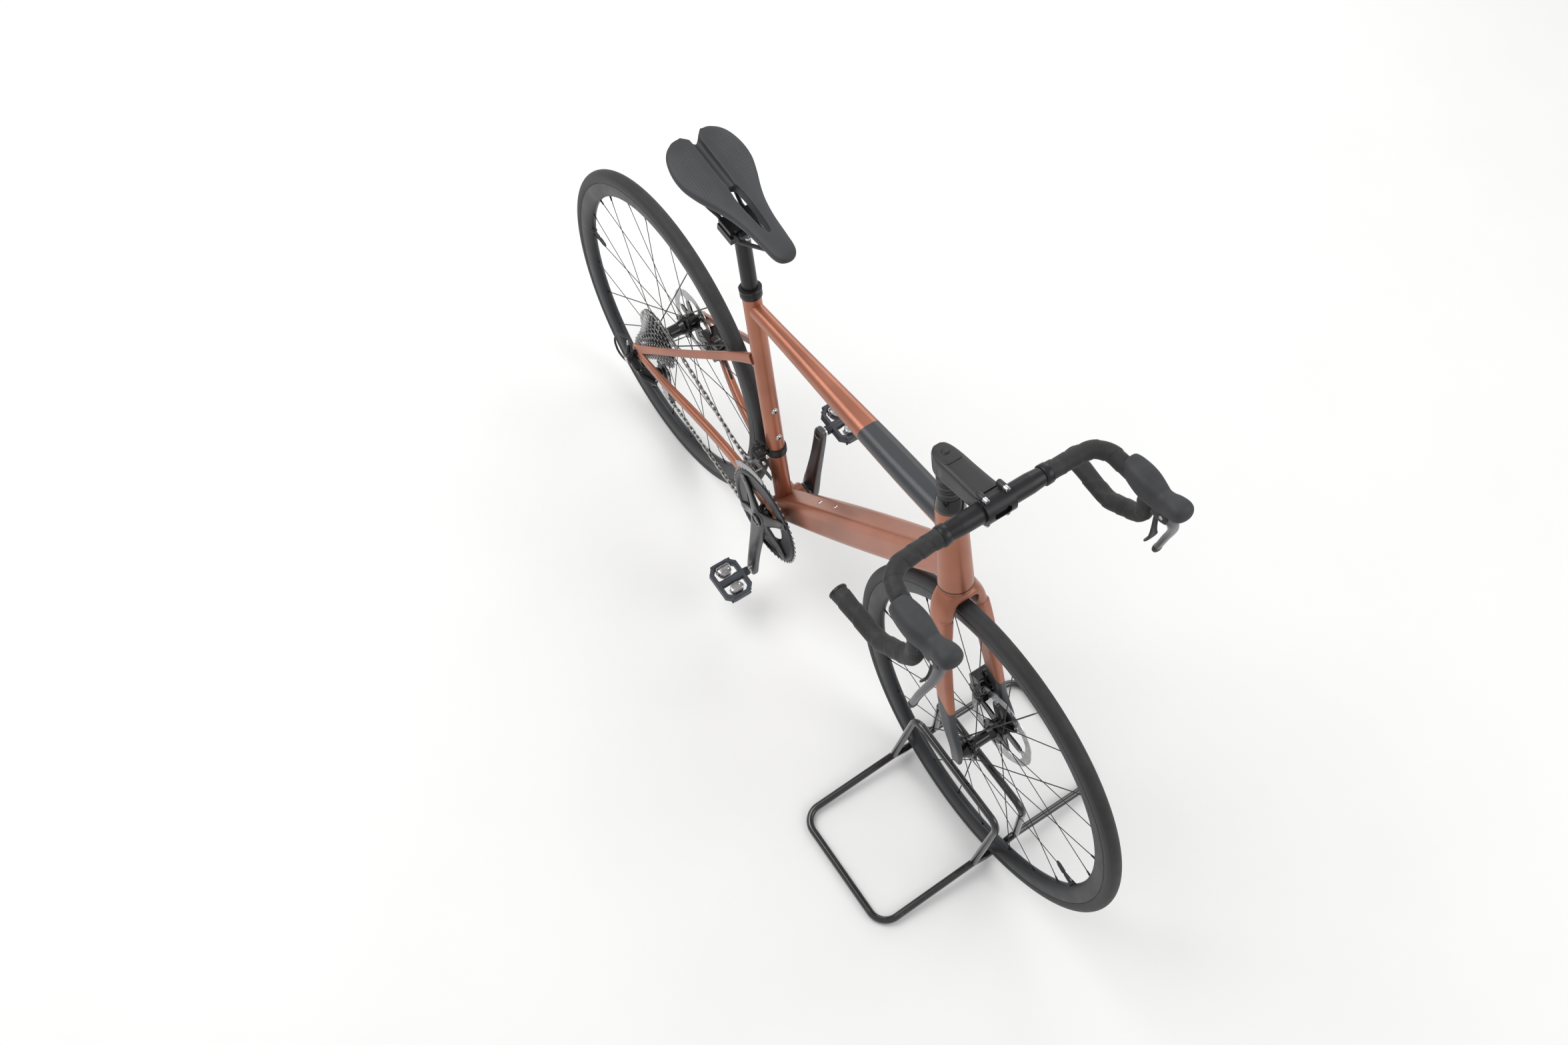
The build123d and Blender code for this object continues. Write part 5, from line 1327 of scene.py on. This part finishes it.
def build_chain_pins():
    """A roller and a pin at every joint of the chain, at the ends shared by neighbouring plates."""
    co, label = link_centres()
    groups = {}
    for key in np.unique(label):
        groups[key] = co[label == key]
    plates = [g for g in groups.values() if len(g) > 8]
    ends = []
    for g in plates:
        middle = (g.min(0) + g.max(0)) / 2
        flat = g[:, (0, 2)] - middle[[0, 2]]
        _, _, axes = np.linalg.svd(flat, full_matrices=False)
        d = axes[0]
        half = np.abs(flat @ d).max() - 3.2
        for sign in (-1, 1):
            ends.append((middle[0] + sign * d[0] * half, middle[1], middle[2] + sign * d[1] * half))
    ends = np.array(ends)
    used, joints = np.zeros(len(ends), bool), []
    for i in range(len(ends)):
        if used[i]:
            continue
        near = (np.hypot(ends[:, 0] - ends[i, 0], ends[:, 2] - ends[i, 2]) < 3.0) & ~used
        near &= np.abs(ends[:, 1] - ends[i, 1]) < 9.0
        used |= near
        joints.append(ends[near].mean(0))
    shape = Shape()
    for j in joints:
        shape.grid(
            spin(j - (0, 3.1, 0), j + (0, 3.1, 0), [(1.6, 0), (1.9, 0.05), (1.9, 0.95), (1.6, 1)], 10), wrap_v=True,
            caps=(True, True)
        )
        shape.grid(
            spin(j - (0, 1.1, 0), j + (0, 1.1, 0), [(3.2, 0), (3.7, 0.1), (3.7, 0.9), (3.2, 1)], 12), wrap_v=True,
            caps=(True, True), slot=0
        )
    place("chain_rollers", shape.mesh("chain_rollers", [finish("pins")]), "frame", (), 30)
    return len(joints)


def build_pedal(side, word):
    """Two-sided clip pedal: bevelled outer frame, axle barrel, sprung binding plates and screws."""
    end = crank_end(side)
    y_in, y_out = 73 + 22, 73 + 22 + 62
    mid = side * (y_in + y_out) / 2
    shape = Shape()
    outer = np.array(
        [(-43, -17), (-29, -31), (29, -31), (43, -17), (43, 17), (29, 31), (-29, 31), (-43, 17)], float
    )
    inner = np.array(
        [(-35, -13), (-25, -23), (25, -23), (35, -13), (35, 13), (25, 23), (-25, 23), (-35, 13)], float
    )
    rows = []
    for half, grow in ((-8.5, -2.2), (-6.5, 0), (6.5, 0), (8.5, -2.2)):
        k = outer * (1 + grow / 43)
        rows.append(np.stack([end[0] + k[:, 0], mid + k[:, 1], np.full(8, end[2] + half)], 1))
    for half, grow in ((8.5, 2.0), (6.5, 0), (-6.5, 0), (-8.5, 2.0)):
        k = inner * (1 + grow / 35)
        rows.append(np.stack([end[0] + k[:, 0], mid + k[:, 1], np.full(8, end[2] + half)], 1))
    shape.grid(np.array(rows).transpose(1, 0, 2), wrap_u=True, wrap_v=True)
    for dx in (-1, 1):
        for dy in (-20, -7, 7, 20):
            c = np.array([end[0] + dx * 39, mid + dy, end[2]])
            for up in (-1, 1):
                loft_box(
                    shape, [c + (0, 0, up * 5), c + (0, 0, up * 9.6), c + (0, 0, up * 10.2)],
                    [(5, 4.4), (4.6, 3.8), (3.6, 2.8)], 5, (0, 1, 0), samples=6, count=16
                )
    barrel = [(8.6, 0.0), (9.4, 0.06), (9.4, 0.3), (8.2, 0.42), (8.2, 0.86), (9.0, 0.9), (8.4, 1.0)]
    shape.grid(
        spin((end[0], side * y_in, end[2]), (end[0], side * (y_out - 3), end[2]), barrel, 28), wrap_v=True,
        caps=(True, True)
    )
    rod(shape, (end[0], side * 85.5, end[2]), (end[0], side * (y_in + 3), end[2]), 8.8, 28, 1.0, 2)
    for v in (-1, 1):
        for dx in (-1, 1):
            c = np.array([end[0] + dx * 17, mid, end[2] + v * 8.0])
            pts = [c + (-dx * 6, 0, -v * 2), c, c + (dx * 9, 0, v * 1.2), c + (dx * 13, 0, -v * 2)]
            loft_box(shape, pts, [(14, 2.6), (24, 3.0), (27, 3.0), (18, 3.4)], 4, samples=16, slot=1, count=20)
            for dy in (-9, 9):
                q = c + (dx * 3, dy, 0)
                rod(shape, q, q + (0, 0, v * 2.6), 2.6, 14, 0.5, 1)
        hoop = bend(
            [
                (end[0] - 26, mid - 14, end[2] + v * 6), (end[0] - 33, mid - 14, end[2] + v * 7),
                (end[0] - 33, mid + 14, end[2] + v * 7), (end[0] - 26, mid + 14, end[2] + v * 6)
            ],
            [4, 4], 1.5
        )
        shape.grid(sleeve(hoop, lambda l, t: 1.6, 10), wrap_v=True, caps=(True, True), slot=1)
    for dx in (-25, 25):
        spring = bend([(end[0] + dx - 4, mid - 15, end[2]), (end[0] + dx - 4, mid + 15, end[2])], [], 1.0)
        coil = sleeve(spring, lambda l, t: 4.2 + 0.9 * np.sin(l * 2 * math.pi / 3.0 + t), 14)
        shape.grid(coil, wrap_v=True, caps=(True, True), slot=1)
    place(
        f"pedal_{word}_body",
        shape.mesh(f"pedal_{word}_body", [finish("pedal"), finish("steel"), finish("plastic")]),
        f"pedal_{word}_body", [f"pedal_{word}"], 30
    )


def build_rear_derailleur():
    """Mounting barrel, two-link parallelogram, springs, screws and the lower knuckle's shield."""
    hanger = np.array([-510.0, -86.0, 311.0])
    guide = np.array([-486.0, -26.3, 249.0])
    shape = Shape()
    rod(shape, hanger + (0, 9, 0), hanger + (0, -8.5, 0), 11.0, 32, 2.0)
    rod(shape, hanger + (0, -8, 0), hanger + (0, -10.4, 0), 6.0, 24, 0.8, 1)
    loft_box(
        shape, [hanger + (-2, 0, 8), hanger + (4, 4, -8), hanger + (10, 8, -22), hanger + (13, 13, -32)],
        [(12, 18), (17, 24), (18, 26), (14, 20)], 3.4, (1, 0, 0), samples=24
    )
    for dx in (-8, 9):
        pts = [
            hanger + (12 + dx, 10, -24), hanger + (15 + dx, 22, -38), guide + (8 + dx, -30, 6),
            guide + (4 + dx, -25, 2)
        ]
        loft_box(shape, pts, [(13, 7), (16, 7), (16, 7), (12, 7)], 3.6, (1, 0, 0), samples=22)
    shell = [hanger + (14, 4, -20), hanger + (18, 9, -34), guide + (10, -33, 8), guide + (2, -31, -4)]
    loft_box(shape, shell, [(6, 24), (9, 32), (9, 30), (7, 22)], 3.0, (1, 0, 0), samples=26)
    rod(shape, guide + (0, -8, 0), guide + (0, -32, 0), 13.0, 36, 2.4)
    rod(shape, guide + (0, -31.6, 0), guide + (0, -33.2, 0), 5.4, 24, 0.6, 1)
    for v in (hanger + (12, 8, -24), guide + (8, -28, 8)):
        rod(shape, v + (-11, 0, 0), v + (12, 0, 0), 3.4, 18, 0.6, 1)
    rod(shape, hanger + (-6, 0, -2), hanger + (-20, 8, 12), 4.2, 18, 0.8, 0)
    rod(shape, hanger + (-18, 6.9, 10), hanger + (-26, 11.5, 18), 3.0, 16, 0.5, 1)
    place(
        "rear_mech", shape.mesh("rear_mech", [finish("black"), finish("steel")]), "frame", (),
        32
    )


def build_front_derailleur():
    """Band with its clamp screw, the moving link's stacked cams, pivot screws and cable anchor."""
    base = seat(150)
    axis = seat(1) - seat(0)
    shape = Shape()
    band = [(17.0, 0.0), (19.0, 0.02), (19.6, 0.15), (19.6, 0.85), (19.0, 0.98), (17.0, 1.0)]
    shape.grid(spin(base - axis * 8, base + axis * 8, band, 64), wrap_v=True, caps=(False, False))
    for y, r in ((-30, 11), (-36, 9)):
        rod(shape, base + (-18, y, 8), base + (4, y, 4), r, 26, 1.6)
    loft_box(
        shape, [base + (-16, -22, 16), base + (-14, -32, 10), base + (-13, -38, -4), base + (-14, -38, -18)],
        [(18, 15), (22, 15), (20, 12), (14, 8)], 3.2, (1, 0, 0), samples=22
    )
    rod(shape, base + (6, -26, 6), base + (13, -26, 4), 3.4, 18, 0.6, 1)
    rod(shape, base + (8, -34, -6), base + (15, -34, -8), 2.8, 18, 0.6, 1)
    rod(shape, base + (-16, -32, 20), base + (-16, -32, 26), 4.4, 20, 0.8, 0)
    rod(shape, base + (14, 8, 0), base + (14, -8, 0), 4.0, 18, 0.8, 0)
    rod(shape, base + (14, 11, 0), base + (14, 7.5, 0), 3.0, 18, 0.5, 1)
    place(
        "front_mech", shape.mesh("front_mech", [finish("black"), finish("steel")]), "frame", (),
        32
    )


# ---- brakes, bolts and frame fittings ----
def build_caliper(name, centre, tilt, y, body, bridge, fins):
    """Two joined halves with piston bosses, a bridge, bridge bolts and pad fins."""
    t = math.radians(tilt)
    u, v = np.array([math.cos(t), 0, math.sin(t)]), np.array([-math.sin(t), 0, math.cos(t)])
    c = np.array([centre[0], y, centre[1]])
    shape = Shape()
    for side in (-1, 1):
        boss = c + (0, side * 9.5, 0) - v * 2
        rod(shape, boss, boss + (0, side * 8.5, 0), 13.2, 36, 2.2)
        rod(shape, boss + (0, side * 8.2, 0), boss + (0, side * 9.6, 0), 6.2, 24, 0.7, 1 if side > 0 else 0)
        pts = [
            c - u * 31 + (0, side * 7, 0), c - u * 14 + (0, side * 9.5, 0), c + u * 14 + (0, side * 9.5, 0),
            c + u * 31 + (0, side * 7, 0)
        ]
        loft_box(
            shape, [p - v * 1 for p in pts], [(9, 12), (14, 21), (14, 21), (9, 12)], 3.6, (v[0], 0, v[2]),
            samples=28
        )
    low, high = bridge
    loft_box(
        shape, [c + u * low + v * 9.5, c + u * (low + high) / 2 + v * 11, c + u * high + v * 9],
        [(26, 6), (31, 9), (26, 6)], 3.4, (v[0], 0, v[2]), samples=18
    )
    for k in (-24, 24):
        p = c + u * k
        rod(shape, p + (0, 13, 0), p + (0, 17.5, 0), 4.4, 20, 0.8, 1)
    for k in fins:
        loft_box(
            shape, [c + u * k + v * 12, c + u * k + v * 18, c + u * k + v * 21], [(16, 1.3), (16, 1.2), (12, 1.0)],
            6, (u[0], 0, u[2]), samples=6, slot=2, count=16
        )
    place(
        name, shape.mesh(name, [finish("gloss_black"), finish("steel"), finish("cage")]), body,
        (), 32
    )


def dome_bolt(shape, at, out, r=5.0):
    """Button head with a hexagon socket and a thin washer."""
    out = np.asarray(out, float) / np.linalg.norm(out)
    at = np.asarray(at, float)
    head = [
        (r + 1.4, 0.0), (r + 1.4, 0.18), (r, 0.2), (r * 0.97, 0.45), (r * 0.8, 0.75), (r * 0.5, 0.95),
        (r * 0.44, 1.0)
    ]
    shape.grid(spin(at - out * 0.8, at + out * 3.6, head, 32), wrap_v=True, caps=(True, False))
    socket = [(r * 0.44, 1.0), (r * 0.42, 0.55)]
    shape.grid(spin(at - out * 0.8, at + out * 3.6, socket, 32), wrap_v=True, caps=(False, True), slot=1)


def ridge_section(depth, width, soft=0.14, count=56):
    """Blade outline (forward, outward) with a crisp outer front ridge, its corners eased by a running mean."""
    corners = np.array(
        [
            (-0.5, -0.30), (-0.36, -0.5), (0.30, -0.5), (0.5, -0.26), (0.45, 0.40), (0.38, 0.48), (-0.32, 0.5),
            (-0.5, 0.22)
        ]
    )
    closed = np.vstack([corners, corners[:1]])
    at = np.concatenate([[0], np.cumsum(np.linalg.norm(np.diff(closed, axis=0), axis=1))])
    t = (np.arange(count) + 0.5) / count * at[-1]
    reach = soft * 0.5
    total = sum(
        np.stack(
            [np.interp((t + k) % at[-1], at, closed[:, i]) for i in (0, 1)], 1
        ) for k in np.linspace(-reach, reach, 5)
    )
    return total / 5 * (depth, width)


def build_fork():
    """Two faceted blades carried to thin tips and an arched crown flowing up to the lower bearing, joined as one skin."""
    def at(s, forward, y):
        return np.array(steer(s, forward, y))

    shape = Shape()
    fx, fz = FRONT
    race = 370.0
    for side in (DRIVE, LEFT):
        blade = [
            (*at(race - 58, 5, side * 35), 24, 44), (
                *at(race - 84, 7, side * 38.5), 23.5, 43
            ), (*at(250, 9, side * 43), 22, 41),
            (*at(190, 13, side * 47), 20, 38.5), (*at(130, 19, side * 50.6), 18, 36), (
                *at(70, 27, side * 53.6), 15.5, 33
            ),
            (
                fx - 8, side * 56.2, fz + 22, 12.5, 31
            ), (fx, side * 56.0, fz - 2, 10.5, 28), (fx + 4, side * 55.6, fz - 17, 9.4, 24),
        ]
        s = smooth_through(blade, 90)
        path = s[:, :3]
        sections = [ridge_section(d, w) * (-1, side) for w, d in s[:, 3:5]]
        shape.grid(carry(path, sections, (0, 1, 0)), wrap_v=True, caps=(True, True))
    arch = [
        (-38.4, race - 84, 18, 36), (-36.4, race - 68, 22, 41), (
            -33, race - 50, 25.5, 44.5
        ), (-27, race - 32, 27.5, 47), (-15, race - 18.5, 28, 50),
        (0, race - 14.5, 27, 52),
    ]
    arch = arch + [(-y, s, h, d) for y, s, h, d in arch[-2::-1]]
    s = smooth_through([(*at(u, 3.5, y), h, d) for y, u, h, d in arch], 48)
    shape.grid(
        carry(s[:, :3], [squircle(h, d, 2.6, 40) for h, d in s[:, 3:5]], (1, 0, 0)), wrap_v=True, caps=(True, True)
    )
    boss = [(25.6, 0.0), (25.8, 0.55), (27.5, 0.75), (30.0, 0.92), (30.5, 1.0)]
    shape.grid(spin(at(race - 0.6, 0, 0), at(race - 26, 0, 0), boss, 72), wrap_v=True, caps=(True, True))
    piece = bpy.data.objects.new("fork_skin", shape.mesh("fork_skin", []))
    bpy.context.scene.collection.objects.link(piece)
    wheel = Shape().grid(
        wheel_ring(
            FRONT, [(250, -21.5), (344, -21.5), (348.5, -16), (350, 0), (348.5, 16), (344, 21.5), (250, 21.5)], 128
        ),
        wrap_u=True, wrap_v=True
    )
    space = bpy.data.objects.new("wheel_space", wheel.mesh("wheel_space", []))
    bpy.context.scene.collection.objects.link(space)
    solve(piece, [space], finish("fork"), 0.0014, 5)
    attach(piece, "front_end")
    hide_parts("fork")
    bolts = Shape()
    for z in (412.0, 374.0):
        x = 478.0 - (z - 339.0) * 0.36
        y = float(np.interp(z, (355, 440), (60.6, 58.4)))
        bolts.grid(
            spin((x, y - 3, z), (x, y + 1.2, z), [(6.6, 0), (6.6, 0.9), (6.0, 1.0), (3.6, 1.0), (3.4, 0.3)], 28),
            wrap_v=True, caps=(True, True)
        )
    place(
        "brake_mount_bolts", bolts.mesh("brake_mount_bolts", [finish("black")]), "front_end", (),
        30
    )
    tube = Shape()
    # The thin black ring from the crown up to the head tube is painted shade: a dark band standing in for the shadow in
    # the gap between them.
    tube.grid(
        spin(
            at(race - 1.0, 0, 0), at(race + 0.28, 0, 0),
            [(20.0, 0.0), (29.5, 0.0), (29.6, 0.5), (29.5, 1.0), (20.0, 1.0)], 72
        ),
        wrap_v=True, caps=(True, True)
    )
    rod(tube, at(race - 2, 0, 0), at(640, 0, 0), 14.3, 48, 1.0)
    place("steerer", tube.mesh("steerer", [finish("black")]), "front_end", (), 30)


def build_frame_bolts():
    """Bottle bolts on two tubes, dropout bolt heads and bearing covers."""
    shape = Shape()
    forward = seat(0, 1) - seat(0)
    for s in (255, 190):
        dome_bolt(shape, seat(s) + forward * 16.5, forward)
    a, b = np.array([327.4, 0, 724.6]), np.array([-94.0, 0, 268.0])
    d = (b - a) / np.linalg.norm(b - a)
    up = np.array([-d[2], 0, d[0]])
    up = up if up[2] > 0 else -up
    for t in (0.615, 0.715):
        dome_bolt(shape, a + (b - a) * t + up * 28.4, up)
    place(
        "bottle_bolts", shape.mesh("bottle_bolts", [finish("chrome"), finish("plastic")]), "frame",
        (), 30
    )
    ends = Shape()
    fx, fz = FRONT
    rx, rz = REAR
    sock = [(6.4, 0.0), (6.6, 0.2), (6.6, 0.7), (6.0, 1.0), (3.4, 1.0), (3.2, 0.3)]
    ends.grid(spin((fx, -57.2, fz), (fx, -60.2, fz), sock, 36), wrap_v=True, caps=(True, True))
    place("front_axle_end", ends.mesh("front_axle_end", [finish("gloss_black")]), "front_end", (), 30)
    back = Shape()
    back.grid(
        spin(
            (rx, 78.2, rz), (rx, 83.0, rz), [(8.6, 0), (9.2, 0.3), (8.8, 0.85), (7.6, 1.0), (3.6, 1.0), (3.4, 0.4)],
            36
        ),
        wrap_v=True, caps=(True, True)
    )
    back.grid(
        spin((rx, -75.0, rz), (rx, -79.4, rz), [(8.4, 0), (8.8, 0.4), (8.0, 1.0), (3.2, 1.0), (3.0, 0.4)], 36),
        wrap_v=True, caps=(True, True)
    )
    for side in (DRIVE, LEFT):
        hub = np.array([CRANK[0], side * 41.2, CRANK[1]])
        back.grid(
            spin(hub, hub + (0, side * 1.3, 0), [(21.6, 0), (23.0, 0.3), (22.6, 1.0), (19.6, 1.0)], 56),
            wrap_v=True, caps=(True, True)
        )
    place("axle_ends", back.mesh("axle_ends", [finish("gloss_black")]), "frame", (), 30)


# ---- settings and operators ----
class BicycleColours(bpy.types.PropertyGroup):
    """Colours a user would change."""

    frame: bpy.props.FloatVectorProperty(
        name="Frame", description="Metallic colour of the frame and fork", subtype="COLOR", size=3,
        default=(0.36, 0.135, 0.080), min=0.0, max=1.0)
    panel: bpy.props.FloatVectorProperty(
        name="Panels", description="Dark paint on the top tube and the fork tips", subtype="COLOR", size=3,
        default=(0.040, 0.043, 0.049), min=0.0, max=1.0)
    fittings: bpy.props.FloatVectorProperty(
        name="Fittings", description="Black of the bar, seatpost and small parts", subtype="COLOR", size=3,
        default=(0.020, 0.020, 0.022), min=0.0, max=1.0)


class BicycleSizes(bpy.types.PropertyGroup):
    """Sizes a user would change."""

    front_valve: bpy.props.FloatProperty(
        name="Front valve", description="Where the front valve stands round its wheel", subtype="ANGLE",
        default=math.radians(-19.25))
    rear_valve: bpy.props.FloatProperty(
        name="Rear valve", description="Where the rear valve stands round its wheel", subtype="ANGLE",
        default=math.radians(176.7))
    lamp_power: bpy.props.FloatProperty(
        name="Lamp power", description="Power of the large studio lamp", default=74.0, min=0.0, unit="POWER")


class BICYCLE_OT_stage(bpy.types.Operator):
    """Camera, pale floor and soft lamps"""

    bl_idname = "bicycle.stage"
    bl_label = "Stage"

    def execute(self, context):
        scene = context.scene
        camera = bpy.data.cameras.new("camera")
        camera.sensor_fit, camera.sensor_width, camera.lens = "HORIZONTAL", 36.0, 35.03
        camera.clip_end = 50.0
        eye = bpy.data.objects.new("camera", camera)
        eye.matrix_world = camera_place()
        scene.collection.objects.link(eye)
        scene.camera = eye
        floor = Shape()
        x, y = np.meshgrid(np.linspace(-9000, 9000, 3), np.linspace(-9000, 9000, 3), indexing="ij")
        floor.grid(np.stack([x, y, np.full_like(x, -0.6)], 2))
        ground = bpy.data.objects.new("studio_floor", floor.mesh("studio_floor", [studio_floor()]))
        scene.collection.objects.link(ground)
        world = bpy.data.worlds.new("studio")
        world.use_nodes = True
        sky = world.node_tree.nodes["Background"]
        sky.inputs["Color"].default_value = (1.0, 1.0, 1.0, 1.0)
        sky.inputs["Strength"].default_value = 0.6
        scene.world = world
        scene.view_settings.view_transform = "Standard"
        lamps = (
            ("lamp_key", (-1.6, -1.4, 3.4), (0, 0, 0.3), 2.6, 1.0), (
                "lamp_fill", (2.4, 2.2, 2.8), (0.1, 0, 0.4), 2.4, 0.55
            ),
            ("lamp_back", (-2.2, 2.6, 2.2), (0, 0, 0.4), 2.0, 0.35),
        )
        for name, at, aim, size, share in lamps:
            light = bpy.data.lights.new(name, "AREA")
            light.energy, light.size = scene.bicycle_sizes.lamp_power * share, size
            lamp = bpy.data.objects.new(name, light)
            lamp.location = at
            lamp.rotation_euler = (Vector(aim) - Vector(at)).to_track_quat("-Z", "Y").to_euler()
            scene.collection.objects.link(lamp)
        return {"FINISHED"}


def camera_place():
    """World matrix of the camera from its position and rotation vector (world to view)."""
    spin_vector = Vector((2.3464, 1.2603, -0.2654))
    turn = Matrix.Rotation(spin_vector.length, 3, spin_vector.normalized())
    right, down, ahead = turn[0], turn[1], turn[2]
    place_ = Matrix((right, -down, -ahead)).transposed().to_4x4()
    place_.translation = Vector((1.0169, -0.8992, 2.7795))
    return place_


class BICYCLE_OT_frame(bpy.types.Operator):
    """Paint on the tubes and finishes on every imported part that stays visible"""

    bl_idname = "bicycle.frame"
    bl_label = "Frame and fork"

    def execute(self, context):
        for node in ("head_tube", "down_tube", "seat_tube", "chain_stays", "seat_stays"):
            dress(node, finish("copper"))
        dress("top_tube", finish("top_tube"))
        dress("fork", finish("fork"))
        plain = {
            "black": (
                "handlebar", "seatpost", "saddle_rails", "stem_faceplate", "seat_collar", "front_derailleur",
                "rear_derailleur"
            ),
            "gloss_black": (
                "front_hub", "rear_hub", "front_caliper", "rear_caliper", "front_axle", "rear_axle",
                "bottom_bracket"
            ),
            "spoke": (
                "front_spokes", "rear_spokes"
            ), "cassette": ("cassette",), "ring": ("chainrings",), "chain": ("chain",),
            "cage": ("rd_cage", "fd_cage"), "plastic": (
                "guide_pulley", "tension_pulley"
            ), "steel": ("pedal_axles",),
            "hose": ("front_hoses", "frame_cables"),
            "stand": tuple(n for n in NODES if n.startswith("stand_")),
            "stem": ("stem", "headset"), "chrome": ("stem_bolts",), "tyre": (
                "front_tyre", "rear_tyre"
            ), "rim": ("front_rim", "rear_rim"),
            "tape": ("bar_tape",), "hood": ("hood_drive", "hood_left"), "saddle": ("saddle",), "crank": (
                "crank_drive", "crank_left"
            ),
            "lever": (
                "brake_lever_drive", "brake_lever_left", "shift_paddle_drive", "shift_paddle_left"
            ), "pedal": ("pedal_drive", "pedal_left"),
            "rotor_front": ("front_rotor",), "rotor_rear": ("rear_rotor",),
        }
        for name, nodes in plain.items():
            for node in nodes:
                dress(node, finish(name))
        return {"FINISHED"}


class BICYCLE_OT_wheels(bpy.types.Operator):
    """Tyres, rims, spoke ends, valves and rotors"""

    bl_idname = "bicycle.wheels"
    bl_label = "Wheels"

    def execute(self, context):
        sizes = context.scene.bicycle_sizes
        build_tyre("tyre_front", FRONT, "front_wheel", "front_tyre")
        build_tyre("tyre_rear", REAR, "rear_wheel", "rear_tyre")
        build_rim("rim_front", FRONT, "front_wheel", "front_rim")
        build_rim("rim_rear", REAR, "rear_wheel", "rear_rim")
        build_spokes("spokes_front", FRONT, "front_wheel", (23.0, -34.0), "front_spokes")
        build_spokes("spokes_rear", REAR, "rear_wheel", (33.0, -17.0), "rear_spokes")
        build_spoke_ends("spoke_ends_front", FRONT, "front_wheel", (23.0, -34.0), math.degrees(sizes.front_valve))
        build_spoke_ends("spoke_ends_rear", REAR, "rear_wheel", (33.0, -17.0), math.degrees(sizes.rear_valve))
        build_hub_details("hub_rings_front", FRONT, "front_wheel", 23.0, -34.0)
        build_hub_details("hub_rings_rear", REAR, "rear_wheel", 33.0, -17.0)
        build_rotor("rotor_front", FRONT, 40.0, 80.0, "front_wheel", "front_rotor", finish("rotor_front"))
        build_rotor("rotor_rear", REAR, 55.0, 70.0, "rear_wheel", "rear_rotor", finish("rotor_rear"))
        return {"FINISHED"}


class BICYCLE_OT_cockpit(bpy.types.Operator):
    """Stem, headset, tape, hoods and levers"""

    bl_idname = "bicycle.cockpit"
    bl_label = "Stem, bar and levers"

    def execute(self, context):
        build_stem()
        build_stem_details()
        for side, word in ((DRIVE, "drive"), (LEFT, "left")):
            build_tape(side, word)
            build_hood(side, word)
            build_lever(side, word)
            build_lever_bracket(side, word)
        return {"FINISHED"}


class BICYCLE_OT_saddle(bpy.types.Operator):
    """Saddle, its clamp and the seat collar"""

    bl_idname = "bicycle.saddle"
    bl_label = "Saddle and seatpost"

    def execute(self, context):
        build_saddle()
        build_seat_clamp()
        return {"FINISHED"}


class BICYCLE_OT_drivetrain(bpy.types.Operator):
    """Cranks, ring bolts, chain rollers, pedals and derailleurs"""

    bl_idname = "bicycle.drivetrain"
    bl_label = "Drivetrain"

    def execute(self, context):
        build_cranks()
        build_chain_pins()
        build_pedal(DRIVE, "drive")
        build_pedal(LEFT, "left")
        build_rear_derailleur()
        build_front_derailleur()
        return {"FINISHED"}


class BICYCLE_OT_fittings(bpy.types.Operator):
    """Calipers, bottle bolts and axle ends"""

    bl_idname = "bicycle.fittings"
    bl_label = "Brakes and bolts"

    def execute(self, context):
        build_fork()
        build_caliper("caliper_front", (436, 389), 64, 40.0, "front_end", (-20, 20), (-5, 0, 5))
        build_caliper("caliper_rear", (-426, 351), 14, 55.0, "frame", (3, 28), (4, 9, 14))
        build_frame_bolts()
        return {"FINISHED"}


class BICYCLE_PT_panel(bpy.types.Panel):
    """Sidebar panel with the settings and one button for each group of pieces"""

    bl_label = "Bicycle"
    bl_idname = "BICYCLE_PT_panel"
    bl_space_type = "VIEW_3D"
    bl_region_type = "UI"
    bl_category = "Bicycle"

    def draw(self, context):
        column = self.layout.column()
        for settings in (context.scene.bicycle_colours, context.scene.bicycle_sizes):
            for key in settings.__annotations__:
                column.prop(settings, key)
        for operator in OPERATORS:
            column.operator(operator.bl_idname)


OPERATORS = (
    BICYCLE_OT_stage, BICYCLE_OT_frame, BICYCLE_OT_wheels, BICYCLE_OT_cockpit, BICYCLE_OT_saddle, BICYCLE_OT_drivetrain,
    BICYCLE_OT_fittings,
)
CLASSES = (BicycleColours, BicycleSizes, *OPERATORS, BICYCLE_PT_panel)


def register():
    for cls in CLASSES:
        bpy.utils.register_class(cls)
    bpy.types.Scene.bicycle_colours = bpy.props.PointerProperty(type=BicycleColours)
    bpy.types.Scene.bicycle_sizes = bpy.props.PointerProperty(type=BicycleSizes)


def unregister():
    del bpy.types.Scene.bicycle_colours
    del bpy.types.Scene.bicycle_sizes
    for cls in reversed(CLASSES):
        bpy.utils.unregister_class(cls)


def main():
    register()
    for operator in OPERATORS:
        group, name = operator.bl_idname.split(".")
        getattr(getattr(bpy.ops, group), name)()


if __name__ == "__main__":
    main()
